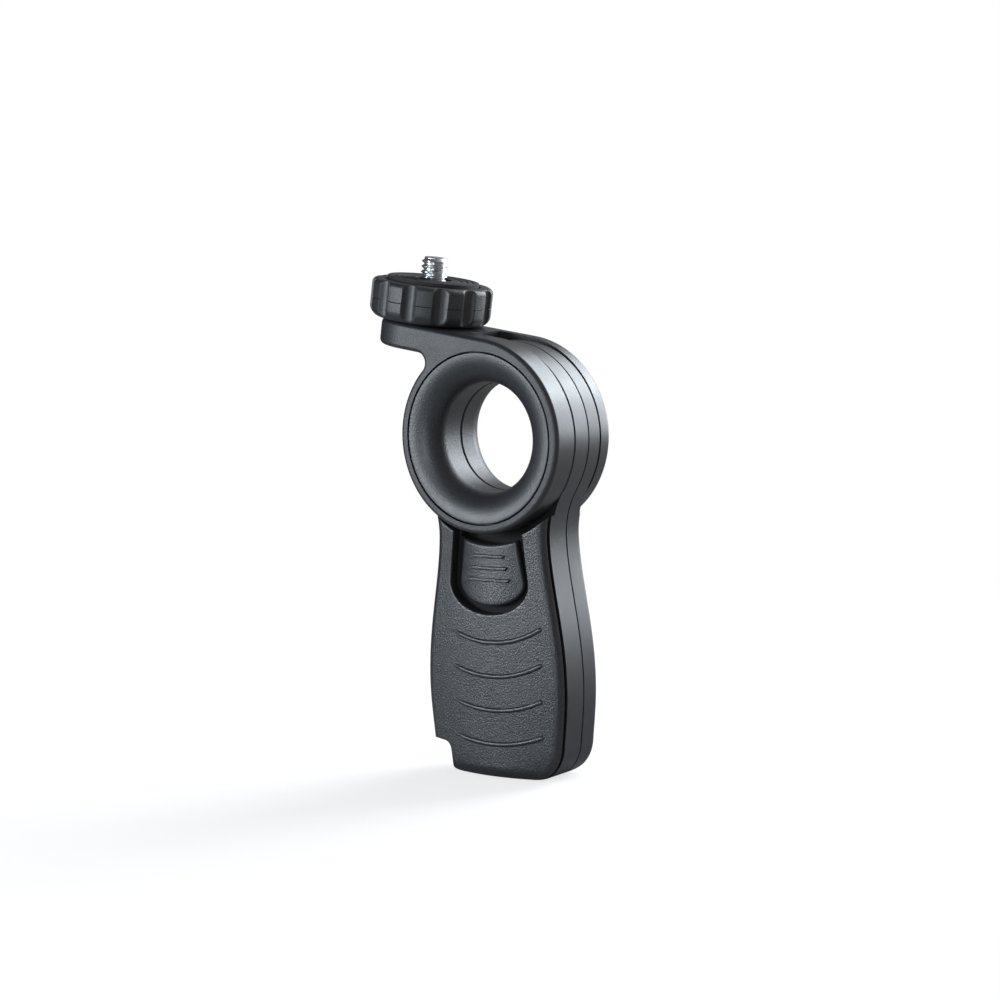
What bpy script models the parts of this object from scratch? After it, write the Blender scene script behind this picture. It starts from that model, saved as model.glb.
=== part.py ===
"""Rotating camera mount: a moulded grip whose drum carries a fork arm with a camera stud.

Frame: the origin is the mouth of the tripod socket, +Z is up along the grip, and the front
of the mount looks towards -Y. The two grip shells part at y = 0. The hollow hub of the arm
lies along Y at the height AXIS_HEIGHT.
"""

import math

import bmesh
import bpy
from mathutils import Matrix, Vector

MM = 0.001

# Running gap between pieces that touch, and the overrun of every cutter.
CLEARANCE = 0.3 * MM
OVERRUN = 1.0 * MM

# Chamfer on the rims of small turned pieces.
EDGE_CHAMFER = 0.3 * MM

# Points closer than this are one point, and faces closer than this angle are one face.
WELD = 0.001 * MM
FLAT_ANGLE = math.radians(0.3)

# Hub of the arm, from its bore outwards: bezel sleeve, step, flange and ring.
BORE_RADIUS = 12.7 * MM
SLEEVE_WALL = 1.7 * MM
STEP_WIDTH = 2.8 * MM
FLANGE_WIDTH = 2.5 * MM
RING_RIM = 2.3 * MM
FLANGE_THICKNESS = 1.75 * MM
BRAKE_WALL = 3.2 * MM
FRONT_THROAT_DEPTH = 5.38 * MM
REAR_THROAT_DEPTH = 6.4 * MM
BORE_SEAM_DEPTH = 1.7 * MM
KEY_COUNT = 3
KEY_WIDTH = 2.4 * MM
KEY_HEIGHT = 0.9 * MM

# Grip outline, seen from the front.
AXIS_HEIGHT = 79.4 * MM
WAIST_HALF_WIDTH = 15.25 * MM
NECK_FILLET_RADIUS = 20.0 * MM
BULGE_HALF_WIDTH = 19.15 * MM
BULGE_HEIGHT = 21.9 * MM
BASE_HALF_WIDTH = 17.6 * MM
BASE_CORNER_RADIUS = 8.0 * MM

# Grip section, seen from above.
GRIP_FRONT_DEPTH = 10.0 * MM
GRIP_REAR_DEPTH = 7.0 * MM
FRONT_CROWN = 0.5 * MM
REAR_CROWN = 0.4 * MM
FRONT_CORNER_RADIUS = 2.4 * MM
REAR_CORNER_RADIUS = 2.0 * MM
BASE_EDGE_RADIUS = 3.0 * MM
SHELL_WALL = 2.2 * MM
BASE_WALL = 3.0 * MM

# Front cover of the grip, the shadow gap behind its rim and the pegs that hold it.
COVER_THICKNESS = 2.3 * MM
COVER_SEAT_WALL = 1.8 * MM
SHADOW_GAP_WIDTH = 0.9 * MM
SHADOW_GAP_DEPTH = 0.8 * MM
PEG_RADIUS = 1.2 * MM
PEG_LENGTH = 1.6 * MM
PEG_LOW_OFFSET = 6.0 * MM
PEG_LOW_HEIGHT = 18.0 * MM
PEG_HIGH_OFFSET = 13.5 * MM
PEG_HIGH_HEIGHT = 27.0 * MM

# The drum between the fork's plates, and the shoulder that the fork turns in.
DRUM_FRONT_DEPTH = 5.65 * MM
DRUM_REAR_DEPTH = 4.8 * MM
SHOULDER_GAP = 1.8 * MM
PLATE_GAP = 0.4 * MM

# Strap notch at the bottom left of the grip.
NOTCH_WALL_OFFSET = 12.2 * MM
NOTCH_HEIGHT = 7.7 * MM
NOTCH_FILLET_RADIUS = 2.2 * MM
NOTCH_CORNER_RADIUS = 1.8 * MM

# Grip ribs on the front, from the top one down.
RIB_RADIUS = 0.65 * MM
RIB_PROUD = 0.4 * MM
RIB_HALF_SPAN = 14.1 * MM
RIB_OFFSET = 0.3 * MM
RIB_WINDOW_GAP = 6.5 * MM
RIB_FOOT_HEIGHT = 8.31 * MM
RIB_SAG_TOP = 4.1 * MM
RIB_SAG_BOTTOM = 2.75 * MM
RIB_COUNT = 4

# Thumb button and its window in the front cover.
BUTTON_GAP = 0.8 * MM
BUTTON_TOP_HALF_WIDTH = 7.5 * MM
BUTTON_LOW_HALF_WIDTH = 9.1 * MM
BUTTON_SIDE_HEIGHT = 9.0 * MM
BUTTON_CHIN_HEIGHT = 5.4 * MM
BUTTON_THICKNESS = 2.3 * MM
BUTTON_EDGE_RADIUS = 0.7 * MM
BUTTON_CROWN_RADIUS = 30.0 * MM
BUTTON_BAR_HEIGHT = 0.9 * MM
BUTTON_BAR_PROUD = 0.5 * MM
BUTTON_BAR_PITCH = 2.75 * MM
BUTTON_BAR_HALF_LENGTH = 4.6 * MM
BUTTON_BAR_GROWTH = 0.65 * MM
BUTTON_BAR_COUNT = 3
WINDOW_MARGIN = 1.8 * MM

# Latch slide, brake lining and spring behind the button.
LATCH_TRAVEL = 1.4 * MM
LINING_THICKNESS = 1.4 * MM
LINING_HALF_WIDTH = 5.6 * MM
SLIDE_HALF_WIDTH = 6.5 * MM
SLIDE_FRONT_DEPTH = 3.9 * MM
SLIDE_REAR_DEPTH = 3.1 * MM
SLIDE_HEIGHT = 17.5 * MM
STEM_HALF_WIDTH = 4.0 * MM
STEM_HEIGHT = 5.5 * MM
SPRING_DEPTH = 1.9 * MM
SPRING_COIL_RADIUS = 2.3 * MM
SPRING_WIRE_RADIUS = 0.35 * MM
SPRING_LENGTH = 11.0 * MM
SPRING_TURNS = 6
SPIGOT_RADIUS = 1.3 * MM
SPIGOT_HEIGHT = 2.2 * MM
SHELF_HALF_WIDTH = 7.0 * MM
SHELF_THICKNESS = 2.0 * MM
RAIL_THICKNESS = 1.4 * MM
LATCH_SCREW_RADIUS = 1.1 * MM
LATCH_SCREW_HEAD_RADIUS = 2.2 * MM
LATCH_SCREW_HEAD_HEIGHT = 1.5 * MM
LATCH_SCREW_SKIN = 0.8 * MM

# Screws that close the grip.
SCREW_RADIUS = 1.3 * MM
SCREW_HEAD_RADIUS = 2.6 * MM
SCREW_HEAD_HEIGHT = 1.9 * MM
SCREW_LENGTH = 9.5 * MM
SCREW_RECESS_DEPTH = 2.6 * MM
SCREW_BOSS_RADIUS = 3.6 * MM
SCREW_LOW_OFFSET = 11.3 * MM
SCREW_LOW_HEIGHT = 15.0 * MM
SCREW_HIGH_OFFSET = 12.2 * MM
SCREW_HIGH_HEIGHT = 35.0 * MM
DRIVE_ACROSS = 2.4 * MM
DRIVE_SLOT_WIDTH = 0.6 * MM
DRIVE_DEPTH = 0.9 * MM
DRIVE_STEP = 0.1 * MM

# Tripod bush in the base.
SOCKET_BORE_RADIUS = 3.2 * MM
BUSH_RADIUS = 4.8 * MM
BUSH_HEIGHT = 12.0 * MM
BUSH_COLLAR_RADIUS = 6.2 * MM
BUSH_COLLAR_HEIGHT = 1.6 * MM
BUSH_COLLAR_RISE = 6.0 * MM
BUSH_BLOCK_HALF_WIDTH = 8.6 * MM

# Low friction rings between the drum and the fork's plates.
GLIDE_WIDTH = 2.4 * MM
GLIDE_THICKNESS = 0.6 * MM

# Fork arm, in its own frame: X along the platform, Z square to it, the hub at the origin.
ARM_TILT = math.radians(9.4)
FRONT_PLATE_THICKNESS = 7.0 * MM
REAR_PLATE_THICKNESS = 4.0 * MM
PLATFORM_RISE = 0.8 * MM
PLATFORM_THICKNESS = 6.1 * MM
PLATFORM_NOTCH_RADIUS = 2.4 * MM
CREST_ANGLE = math.radians(28.0)
FORK_EDGE_RADIUS = 1.1 * MM
FORK_DRUM_GAP = 0.6 * MM
BRIDGE_OFFSET = 9.5 * MM
STUD_REACH = 25.1 * MM

# Camera stud and the cap under it.
STUD_RADIUS = 3.175 * MM
STUD_PROJECTION = 5.0 * MM
STUD_CHAMFER = 0.6 * MM
STUD_HEAD_RADIUS = 5.5 * MM
STUD_HEAD_HEIGHT = 2.5 * MM
CAP_RADIUS = 7.5 * MM
CAP_THICKNESS = 1.2 * MM

# Lock wheel, its bush and the pad on top.
WHEEL_RADIUS = 14.3 * MM
WHEEL_HEIGHT = 9.0 * MM
WHEEL_TOP_ROUND = 1.2 * MM
WHEEL_BOTTOM_ROUND = 2.6 * MM
WHEEL_BORE_RADIUS = 3.7 * MM
FLUTE_COUNT = 12
FLUTE_RADIUS = 1.9 * MM
FLUTE_DEPTH = 1.2 * MM
WHEEL_BUSH_RADIUS = 5.5 * MM
WHEEL_BUSH_HEIGHT = 5.7 * MM
WHEEL_RIM_WIDTH = 3.5 * MM
PAD_BORE_RADIUS = 4.2 * MM
PAD_THICKNESS = 1.2 * MM
PAD_SEAT_DEPTH = 0.6 * MM

# Facets of a full circle on large, middling and small round pieces.
LARGE_STEPS = 44
MIDDLE_STEPS = 24
SMALL_STEPS = 14
CORNER_STEPS = 3
FLUTE_STEPS = 4
FLARE_STEPS = 6
SPRING_STEPS = 8
RIB_STEPS = 8

# Rings of the grip's lofts round the base edge, along the body and up the neck.
GRIP_LEVEL_COUNTS = (6, 10, 4)
CORE_LEVEL_COUNTS = (3, 7, 2)

# Pure numbers: how the grip swells from waist to bulge, and where its crown is sampled.
SWELL_SHARE = 0.88
CROWN_SHARES = (-0.55, 0.0, 0.55)
RIB_FADE_SHARE = 0.35

# Sizes that follow from the ones above.
SLEEVE_RADIUS = BORE_RADIUS + SLEEVE_WALL
STEP_RADIUS = SLEEVE_RADIUS + STEP_WIDTH
FLANGE_RADIUS = STEP_RADIUS + FLANGE_WIDTH
DRUM_RADIUS = FLANGE_RADIUS + RING_RIM
BRAKE_RADIUS = SLEEVE_RADIUS + CLEARANCE + BRAKE_WALL
PLATFORM_TOP = DRUM_RADIUS + PLATFORM_RISE
PAD_RADIUS = WHEEL_RADIUS - WHEEL_RIM_WIDTH
SHOULDER_RADIUS = DRUM_RADIUS + SHOULDER_GAP
FRONT_PLATE_INNER = -(DRUM_FRONT_DEPTH + PLATE_GAP)
FRONT_FACE = FRONT_PLATE_INNER - FRONT_PLATE_THICKNESS
REAR_PLATE_INNER = DRUM_REAR_DEPTH + PLATE_GAP
REAR_FACE = REAR_PLATE_INNER + REAR_PLATE_THICKNESS
ARM_MID_DEPTH = (FRONT_FACE + REAR_FACE) / 2
PLATFORM_END_RADIUS = (REAR_FACE - FRONT_FACE) / 2
PLATFORM_UNDERSIDE = PLATFORM_TOP - PLATFORM_THICKNESS
DRUM_BORE_RADIUS = BRAKE_RADIUS + CLEARANCE
LINING_RADIUS = BRAKE_RADIUS + CLEARANCE
SLIDE_CRADLE_RADIUS = LINING_RADIUS + LINING_THICKNESS + CLEARANCE
BUTTON_TOP_RADIUS = SHOULDER_RADIUS + BUTTON_GAP
COVER_BACK = -(GRIP_FRONT_DEPTH - COVER_THICKNESS)
COVER_SEAT = COVER_BACK + CLEARANCE
CORE_FRONT = COVER_SEAT + COVER_SEAT_WALL
GROOVE_END = COVER_BACK + SHADOW_GAP_WIDTH
BUTTON_BACK = COVER_SEAT - CLEARANCE
BUTTON_FACE = BUTTON_BACK - BUTTON_THICKNESS
BUTTON_SIDE_FOOT = AXIS_HEIGHT - BUTTON_TOP_RADIUS - BUTTON_SIDE_HEIGHT
RIB_TOP_HEIGHT = BUTTON_SIDE_FOOT - BUTTON_CHIN_HEIGHT - WINDOW_MARGIN - RIB_WINDOW_GAP
RIB_PITCH = (RIB_TOP_HEIGHT - RIB_FOOT_HEIGHT) / max(1, RIB_COUNT - 1)
SLIDE_FOOT = AXIS_HEIGHT - DRUM_BORE_RADIUS - SLIDE_HEIGHT
STEM_TOP = SLIDE_FOOT + STEM_HEIGHT + LATCH_TRAVEL
STEM_FOOT = STEM_TOP - STEM_HEIGHT
LATCH_SCREW_HEIGHT = (STEM_TOP + STEM_FOOT) / 2
LATCH_SCREW_TIP = BUTTON_FACE + LATCH_SCREW_SKIN
LATCH_SCREW_SEAT = SLIDE_REAR_DEPTH - LATCH_SCREW_HEAD_HEIGHT - CLEARANCE
SPRING_TOP = SLIDE_FOOT - CLEARANCE
SPRING_FOOT = SPRING_TOP - SPRING_LENGTH
SHELF_TOP = SPRING_FOOT - CLEARANCE
WHEEL_FOOT = PLATFORM_TOP + CLEARANCE
WHEEL_TOP = WHEEL_FOOT + WHEEL_HEIGHT
PAD_FOOT = WHEEL_TOP - PAD_SEAT_DEPTH + CLEARANCE
PAD_TOP = PAD_FOOT + PAD_THICKNESS
STUD_TIP = PAD_TOP + STUD_PROJECTION
CAP_SEAT = PLATFORM_UNDERSIDE + CAP_THICKNESS + CLEARANCE
STUD_HEAD_TOP = CAP_SEAT + STUD_HEAD_HEIGHT
SCREW_PLACES = (
    (-SCREW_LOW_OFFSET, SCREW_LOW_HEIGHT),
    (SCREW_LOW_OFFSET, SCREW_LOW_HEIGHT),
    (-SCREW_HIGH_OFFSET, SCREW_HIGH_HEIGHT),
    (SCREW_HIGH_OFFSET, SCREW_HIGH_HEIGHT),
)
PEG_PLACES = (
    (-PEG_LOW_OFFSET, PEG_LOW_HEIGHT),
    (PEG_LOW_OFFSET, PEG_LOW_HEIGHT),
    (-PEG_HIGH_OFFSET, PEG_HIGH_HEIGHT),
    (PEG_HIGH_OFFSET, PEG_HIGH_HEIGHT),
)


# Scene set-up

def clear_scene():
    for old in list(bpy.data.objects):
        bpy.data.objects.remove(old, do_unlink=True)


def new_collection(name):
    collection = bpy.data.collections.new(name)
    bpy.context.scene.collection.children.link(collection)
    return collection


clear_scene()
PARTS = new_collection("rotating_camera_mount")
CUTTERS = new_collection("cutters")


def finish_material(name, colour, roughness, metallic=0.0):
    material = bpy.data.materials.new(name)
    material.use_nodes = True
    shader = material.node_tree.nodes["Principled BSDF"]
    shader.inputs["Base Color"].default_value = (*colour, 1.0)
    shader.inputs["Roughness"].default_value = roughness
    shader.inputs["Metallic"].default_value = metallic
    return material


GRAINED_ABS = (0.022, 0.023, 0.025)
SATIN_ABS = (0.03, 0.032, 0.036)
RUBBER = (0.012, 0.012, 0.013)
BRASS = (0.62, 0.47, 0.2)
STEEL = (0.55, 0.56, 0.58)
POM = (0.78, 0.78, 0.74)
LINING = (0.12, 0.1, 0.09)


# Shape helpers

def add_object(name, mesh, collection=None):
    item = bpy.data.objects.new(name, mesh)
    (collection or CUTTERS).objects.link(item)
    if collection is None:
        item.hide_render = True
        item.display_type = "WIRE"
    return item


def mesh_from(builder, name):
    bm = bmesh.new()
    builder(bm)
    bmesh.ops.recalc_face_normals(bm, faces=bm.faces)
    mesh = bpy.data.meshes.new(name)
    bm.to_mesh(mesh)
    bm.free()
    return mesh


def block(name, low, high, collection=None):
    """A box between two corners."""
    low = Vector(low)
    high = Vector(high)

    def build(bm):
        bmesh.ops.create_cube(bm, size=1)
        bmesh.ops.scale(bm, vec=high - low, verts=bm.verts)
        bmesh.ops.translate(bm, vec=(low + high) / 2, verts=bm.verts)

    return add_object(name, mesh_from(build, name), collection)


def turned(name, profile, steps, axis="Y", centre=(0, 0, 0), collection=None):
    """A turned solid from a profile of (radius, place along the axis) points.

    The profile runs downwards along its outer side. It closes on itself, unless both of its
    ends lie on the axis.
    """
    mesh = bpy.data.meshes.new(name)
    points = [(radius, 0, along) for radius, along in profile]
    edges = [(k, k + 1) for k in range(len(points) - 1)]
    if profile[0][0] > 0:
        edges.append((len(points) - 1, 0))
    mesh.from_pydata(points, edges, [])
    item = add_object(name, mesh, collection)
    screw = item.modifiers.new("turn", "SCREW")
    screw.steps = steps
    screw.render_steps = steps
    screw.use_merge_vertices = True
    screw.merge_threshold = WELD
    item.location = centre
    if axis == "Y":
        item.rotation_euler = (-math.pi / 2, 0, 0)
    return item


def rod(name, radius, start, end, steps, axis="Y", centre=(0, 0, 0), collection=None):
    """A cylinder between two places along the axis, or a prism when steps is small."""
    def build(bm):
        bmesh.ops.create_cone(bm, cap_ends=True, segments=steps, radius1=radius,
                              radius2=radius, depth=end - start)
        bmesh.ops.translate(bm, vec=(0, 0, (start + end) / 2), verts=bm.verts)

    item = add_object(name, mesh_from(build, name), collection)
    item.location = centre
    if axis == "Y":
        item.rotation_euler = (-math.pi / 2, 0, 0)
    return item


def mesh_of_curve(drawn):
    """The closed mesh of a curve object, which is removed."""
    bpy.context.view_layer.update()
    shape = drawn.evaluated_get(bpy.context.evaluated_depsgraph_get())
    mesh = bpy.data.meshes.new_from_object(shape)
    bpy.data.objects.remove(drawn, do_unlink=True)
    bm = bmesh.new()
    bm.from_mesh(mesh)
    bmesh.ops.remove_doubles(bm, verts=bm.verts, dist=WELD)
    bmesh.ops.dissolve_limit(bm, angle_limit=FLAT_ANGLE, verts=bm.verts, edges=bm.edges)
    bmesh.ops.recalc_face_normals(bm, faces=bm.faces)
    bm.to_mesh(mesh)
    bm.free()
    return mesh


def prism(name, outline, start, end, axis="Y", collection=None):
    """A flat outline extruded along an axis: (x, z) points for Y, (x, y) points for Z."""
    curve = bpy.data.curves.new(name, "CURVE")
    curve.dimensions = "2D"
    curve.fill_mode = "BOTH"
    curve.extrude = (end - start) / 2
    spline = curve.splines.new("POLY")
    spline.points.add(len(outline) - 1)
    flip = -1 if axis == "Y" else 1
    for point, (across, along) in zip(spline.points, outline):
        point.co = (across, flip * along, 0, 1)
    spline.use_cyclic_u = True
    mesh = mesh_of_curve(add_object(name + "_outline", curve))
    mesh.name = name
    mesh.transform(Matrix.Translation((0, 0, (start + end) / 2)))
    if axis == "Y":
        mesh.transform(Matrix.Rotation(-math.pi / 2, 4, "X"))
    return add_object(name, mesh, collection)


def tube(name, route, radius, sides_level, fades=None):
    """A closed wire along a route of points, as a mesh."""
    curve = bpy.data.curves.new(name, "CURVE")
    curve.dimensions = "3D"
    curve.bevel_depth = radius
    curve.bevel_resolution = sides_level
    curve.use_fill_caps = True
    spline = curve.splines.new("POLY")
    spline.points.add(len(route) - 1)
    for number, (point, place) in enumerate(zip(spline.points, route)):
        point.co = (*place, 1)
        if fades:
            point.radius = fades[number]
    return mesh_of_curve(add_object(name + "_route", curve))


def loft(name, rings, collection=None):
    """A solid through rings that have the same number of points, closed at both ends."""
    def build(bm):
        rows = [[bm.verts.new(point) for point in ring] for ring in rings]
        count = len(rows[0])
        for below, above in zip(rows, rows[1:]):
            for k in range(count):
                nxt = (k + 1) % count
                bm.faces.new((below[k], below[nxt], above[nxt], above[k]))
        bm.faces.new(rows[0])
        bm.faces.new(rows[-1])

    return add_object(name, mesh_from(build, name), collection)


def combine(item, other, operation):
    modifier = item.modifiers.new(operation.lower() + "_" + other.name, "BOOLEAN")
    modifier.operation = operation
    modifier.solver = "EXACT"
    modifier.object = other
    return item


def cut(item, *others):
    for other in others:
        combine(item, other, "DIFFERENCE")
    return item


def join(item, *others):
    for other in others:
        combine(item, other, "UNION")
    return item


def bevel(item, width, segments, angle=math.radians(40)):
    modifier = item.modifiers.new("rounded_edges", "BEVEL")
    modifier.width = width
    modifier.segments = segments
    modifier.limit_method = "ANGLE"
    modifier.angle_limit = angle
    return item


def finish(item, colour, roughness, metallic=0.0, parent=None):
    """Gives a piece its material, its place under a joint and smooth round faces."""
    item.data.materials.append(finish_material(item.name + "_finish", colour, roughness, metallic))
    if parent is not None:
        item.parent = parent
    item.data.shade_smooth()
    item.data.set_sharp_from_angle(angle=math.radians(35))
    return item


def arc(centre, radius, start, end, steps):
    """Points on an arc, both ends included, angles from +X towards +Z."""
    points = []
    for k in range(steps + 1):
        angle = start + (end - start) * k / steps
        points.append((centre[0] + radius * math.cos(angle),
                       centre[1] + radius * math.sin(angle)))
    return points


# Joint frames

def pivot(name, place, parent=None, tilt=0.0):
    empty = bpy.data.objects.new(name, None)
    PARTS.objects.link(empty)
    empty.location = place
    empty.rotation_euler = (0, tilt, 0)
    empty.parent = parent
    return empty


ARM_PIVOT = pivot("arm_pivot", (0, 0, AXIS_HEIGHT), tilt=ARM_TILT)
WHEEL_PIVOT = pivot("wheel_pivot", (-STUD_REACH, ARM_MID_DEPTH, 0), ARM_PIVOT)
LATCH_GUIDE = pivot("latch_guide", (0, 0, 0))


# Grip form

def fillet_centre():
    """Centre of the neck fillet on the right side, relative to the hub."""
    x = WAIST_HALF_WIDTH + NECK_FILLET_RADIUS
    reach = DRUM_RADIUS + NECK_FILLET_RADIUS
    return x, -math.sqrt(reach ** 2 - x ** 2)


WAIST_HEIGHT = AXIS_HEIGHT + fillet_centre()[1]
NECK_TOP = AXIS_HEIGHT + fillet_centre()[1] * DRUM_RADIUS / (DRUM_RADIUS + NECK_FILLET_RADIUS)


def eased(start, end, share):
    return start + (end - start) * (1 - math.cos(math.pi * share)) / 2


def half_width(height):
    """Half the grip's width at a height above the base."""
    if height >= WAIST_HEIGHT:
        centre_x, centre_z = fillet_centre()
        rise = height - AXIS_HEIGHT - centre_z
        return centre_x - math.sqrt(NECK_FILLET_RADIUS ** 2 - rise ** 2)
    if height >= BULGE_HEIGHT:
        share = (WAIST_HEIGHT - height) / (WAIST_HEIGHT - BULGE_HEIGHT)
        return eased(WAIST_HALF_WIDTH, BULGE_HALF_WIDTH, share ** SWELL_SHARE)
    share = (BULGE_HEIGHT - height) / BULGE_HEIGHT
    width = eased(BULGE_HALF_WIDTH, BASE_HALF_WIDTH, share)
    if height < BASE_CORNER_RADIUS:
        drop = BASE_CORNER_RADIUS - height
        width -= BASE_CORNER_RADIUS - math.sqrt(BASE_CORNER_RADIUS ** 2 - drop ** 2)
    return width


def edge_inset(height):
    """How far the front and rear faces draw in towards the base."""
    if height >= BASE_EDGE_RADIUS:
        return 0
    drop = BASE_EDGE_RADIUS - height
    return BASE_EDGE_RADIUS - math.sqrt(BASE_EDGE_RADIUS ** 2 - drop ** 2)


def grip_section(height):
    """One level of the grip: four rounded corners between crowned faces."""
    quarter = math.pi / 2
    front_face = -(GRIP_FRONT_DEPTH - FRONT_CROWN - edge_inset(height))
    rear_face = GRIP_REAR_DEPTH - REAR_CROWN - edge_inset(height)
    front_x = half_width(height) - FRONT_CORNER_RADIUS
    rear_x = half_width(height) - REAR_CORNER_RADIUS
    front_y = front_face + FRONT_CORNER_RADIUS
    rear_y = rear_face - REAR_CORNER_RADIUS
    points = arc((front_x, front_y), FRONT_CORNER_RADIUS, 0, -quarter, CORNER_STEPS)
    points += [(-front_x * s, front_face - FRONT_CROWN * (1 - s * s)) for s in CROWN_SHARES]
    points += arc((-front_x, front_y), FRONT_CORNER_RADIUS, -quarter, -2 * quarter,
                  CORNER_STEPS)
    points += arc((-rear_x, rear_y), REAR_CORNER_RADIUS, 2 * quarter, quarter, CORNER_STEPS)
    points += [(rear_x * s, rear_face + REAR_CROWN * (1 - s * s)) for s in CROWN_SHARES]
    points += arc((rear_x, rear_y), REAR_CORNER_RADIUS, quarter, 0, CORNER_STEPS)
    return [(x, y, height) for x, y in points]


def grip_levels(start, end, counts):
    """Heights of a loft's rings: close together round the base edge and the neck."""
    base_steps, body_steps, neck_steps = counts
    quarter = math.pi / 2
    levels = [BASE_CORNER_RADIUS * (1 - math.cos(quarter * k / base_steps))
              for k in range(base_steps)]
    levels += [BASE_CORNER_RADIUS + (WAIST_HEIGHT - BASE_CORNER_RADIUS) * k / body_steps
               for k in range(body_steps)]
    levels += [WAIST_HEIGHT + (NECK_TOP - WAIST_HEIGHT) * k / neck_steps
               for k in range(neck_steps)]
    inside = [level for level in levels if start < level < end]
    return [start] + inside + [end]


def grip_form():
    """Outside of the closed grip with its drum, before it is split."""
    form = loft("grip_form", [grip_section(height)
                              for height in grip_levels(0, NECK_TOP, GRIP_LEVEL_COUNTS)])
    drum = rod("drum_form", DRUM_RADIUS, -(DRUM_FRONT_DEPTH + OVERRUN),
               DRUM_REAR_DEPTH + OVERRUN, LARGE_STEPS, centre=(0, 0, AXIS_HEIGHT))
    far = GRIP_FRONT_DEPTH + OVERRUN
    shoulder_front = rod("shoulder_front", SHOULDER_RADIUS, -far, -DRUM_FRONT_DEPTH,
                         LARGE_STEPS, centre=(0, 0, AXIS_HEIGHT))
    shoulder_rear = rod("shoulder_rear", SHOULDER_RADIUS, DRUM_REAR_DEPTH, far,
                        LARGE_STEPS, centre=(0, 0, AXIS_HEIGHT))
    join(form, drum)
    cut(form, shoulder_front, shoulder_rear, notch_cutter())
    return form


def notch_cutter():
    far = BULGE_HALF_WIDTH + OVERRUN
    quarter = math.pi / 2
    inner = (-(NOTCH_WALL_OFFSET + NOTCH_FILLET_RADIUS), NOTCH_HEIGHT - NOTCH_FILLET_RADIUS)
    foot = (-(NOTCH_WALL_OFFSET - NOTCH_CORNER_RADIUS), NOTCH_CORNER_RADIUS)
    points = [(-far, -OVERRUN), (foot[0], -OVERRUN)]
    points += arc(foot, NOTCH_CORNER_RADIUS, -quarter, -2 * quarter, CORNER_STEPS)
    points += arc(inner, NOTCH_FILLET_RADIUS, 0, quarter, CORNER_STEPS)
    points += [(-far, NOTCH_HEIGHT)]
    reach = GRIP_FRONT_DEPTH + OVERRUN
    return prism("notch_cutter", points, -reach, reach)


def thumb_outline(margin, top_radius):
    """Outline of the button, or of its window when a margin is given."""
    top_half = BUTTON_TOP_HALF_WIDTH + margin
    low_half = BUTTON_LOW_HALF_WIDTH + margin
    chin = BUTTON_CHIN_HEIGHT + margin
    half_angle = math.asin(top_half / top_radius)
    down = -math.pi / 2
    points = arc((0, AXIS_HEIGHT), top_radius, down - half_angle, down + half_angle, 6)
    for k in range(13):
        angle = math.pi * k / 12
        points.append((low_half * math.cos(angle), BUTTON_SIDE_FOOT - chin * math.sin(angle)))
    return points


def cover_window():
    """The button's window, open at the top to the shoulder round the hub."""
    far = -(GRIP_FRONT_DEPTH + OVERRUN)
    top_radius = DRUM_RADIUS - OVERRUN
    return prism("cover_window", thumb_outline(WINDOW_MARGIN, top_radius), far,
                 COVER_BACK + OVERRUN)


def shadow_gap():
    """Room for the cover and for the groove that runs round the grip behind its rim."""
    far = GRIP_FRONT_DEPTH + OVERRUN
    rings = []
    for height in grip_levels(SHADOW_GAP_DEPTH, NECK_TOP, CORE_LEVEL_COUNTS):
        side = half_width(height) - SHADOW_GAP_DEPTH
        rings.append([(side, COVER_SEAT, height), (-side, COVER_SEAT, height),
                      (-side, far, height), (side, far, height)])
    room = half_space("shadow_gap", -far, GROOVE_END, None)
    return cut(room, loft("cover_seat", rings))


def core_form():
    """Hollow of the closed grip: an inset loft less the bosses, rails and blocks."""
    top = AXIS_HEIGHT - SHOULDER_RADIUS - SHELL_WALL
    rings = []
    for height in grip_levels(BASE_WALL, top, CORE_LEVEL_COUNTS):
        side = half_width(height) - SHELL_WALL
        rear = GRIP_REAR_DEPTH - REAR_CROWN - SHELL_WALL
        rings.append([(side, CORE_FRONT, height), (-side, CORE_FRONT, height),
                      (-side, rear, height), (side, rear, height)])
    core = loft("core_form", rings)
    far = GRIP_FRONT_DEPTH + OVERRUN
    notch_guard = block("notch_guard", (-(BULGE_HALF_WIDTH + OVERRUN), -far, -OVERRUN),
                        (-(NOTCH_WALL_OFFSET - SHELL_WALL), far, NOTCH_HEIGHT + SHELL_WALL))
    bush_block = block("bush_block", (-BUSH_BLOCK_HALF_WIDTH, -far, -OVERRUN),
                       (BUSH_BLOCK_HALF_WIDTH, far, BUSH_HEIGHT + CLEARANCE))
    shelf = block("spring_shelf", (-SHELF_HALF_WIDTH, -far, SHELF_TOP - SHELF_THICKNESS),
                  (SHELF_HALF_WIDTH, far, SHELF_TOP))
    cut(core, notch_guard, bush_block, shelf)
    for side in (-1, 1):
        inner = side * (SLIDE_HALF_WIDTH + CLEARANCE)
        outer = inner + side * RAIL_THICKNESS
        low_x = min(inner, outer)
        high_x = max(inner, outer)
        cut(core, block(f"slide_rail_{side}", (low_x, -far, SHELF_TOP - SHELF_THICKNESS),
                        (high_x, far, AXIS_HEIGHT - DRUM_RADIUS)))
    for number, (x, z) in enumerate(SCREW_PLACES):
        cut(core, rod(f"screw_boss_{number}", SCREW_BOSS_RADIUS, -far, far, SMALL_STEPS,
                      centre=(x, 0, z)))
    return core


def half_space(name, start, end, collection=PARTS):
    """Everything between two depths, wide enough for the whole grip; a cutter with None."""
    wide = DRUM_RADIUS + OVERRUN
    return block(name, (-wide, start, -OVERRUN), (wide, end, AXIS_HEIGHT + wide), collection)


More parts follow.
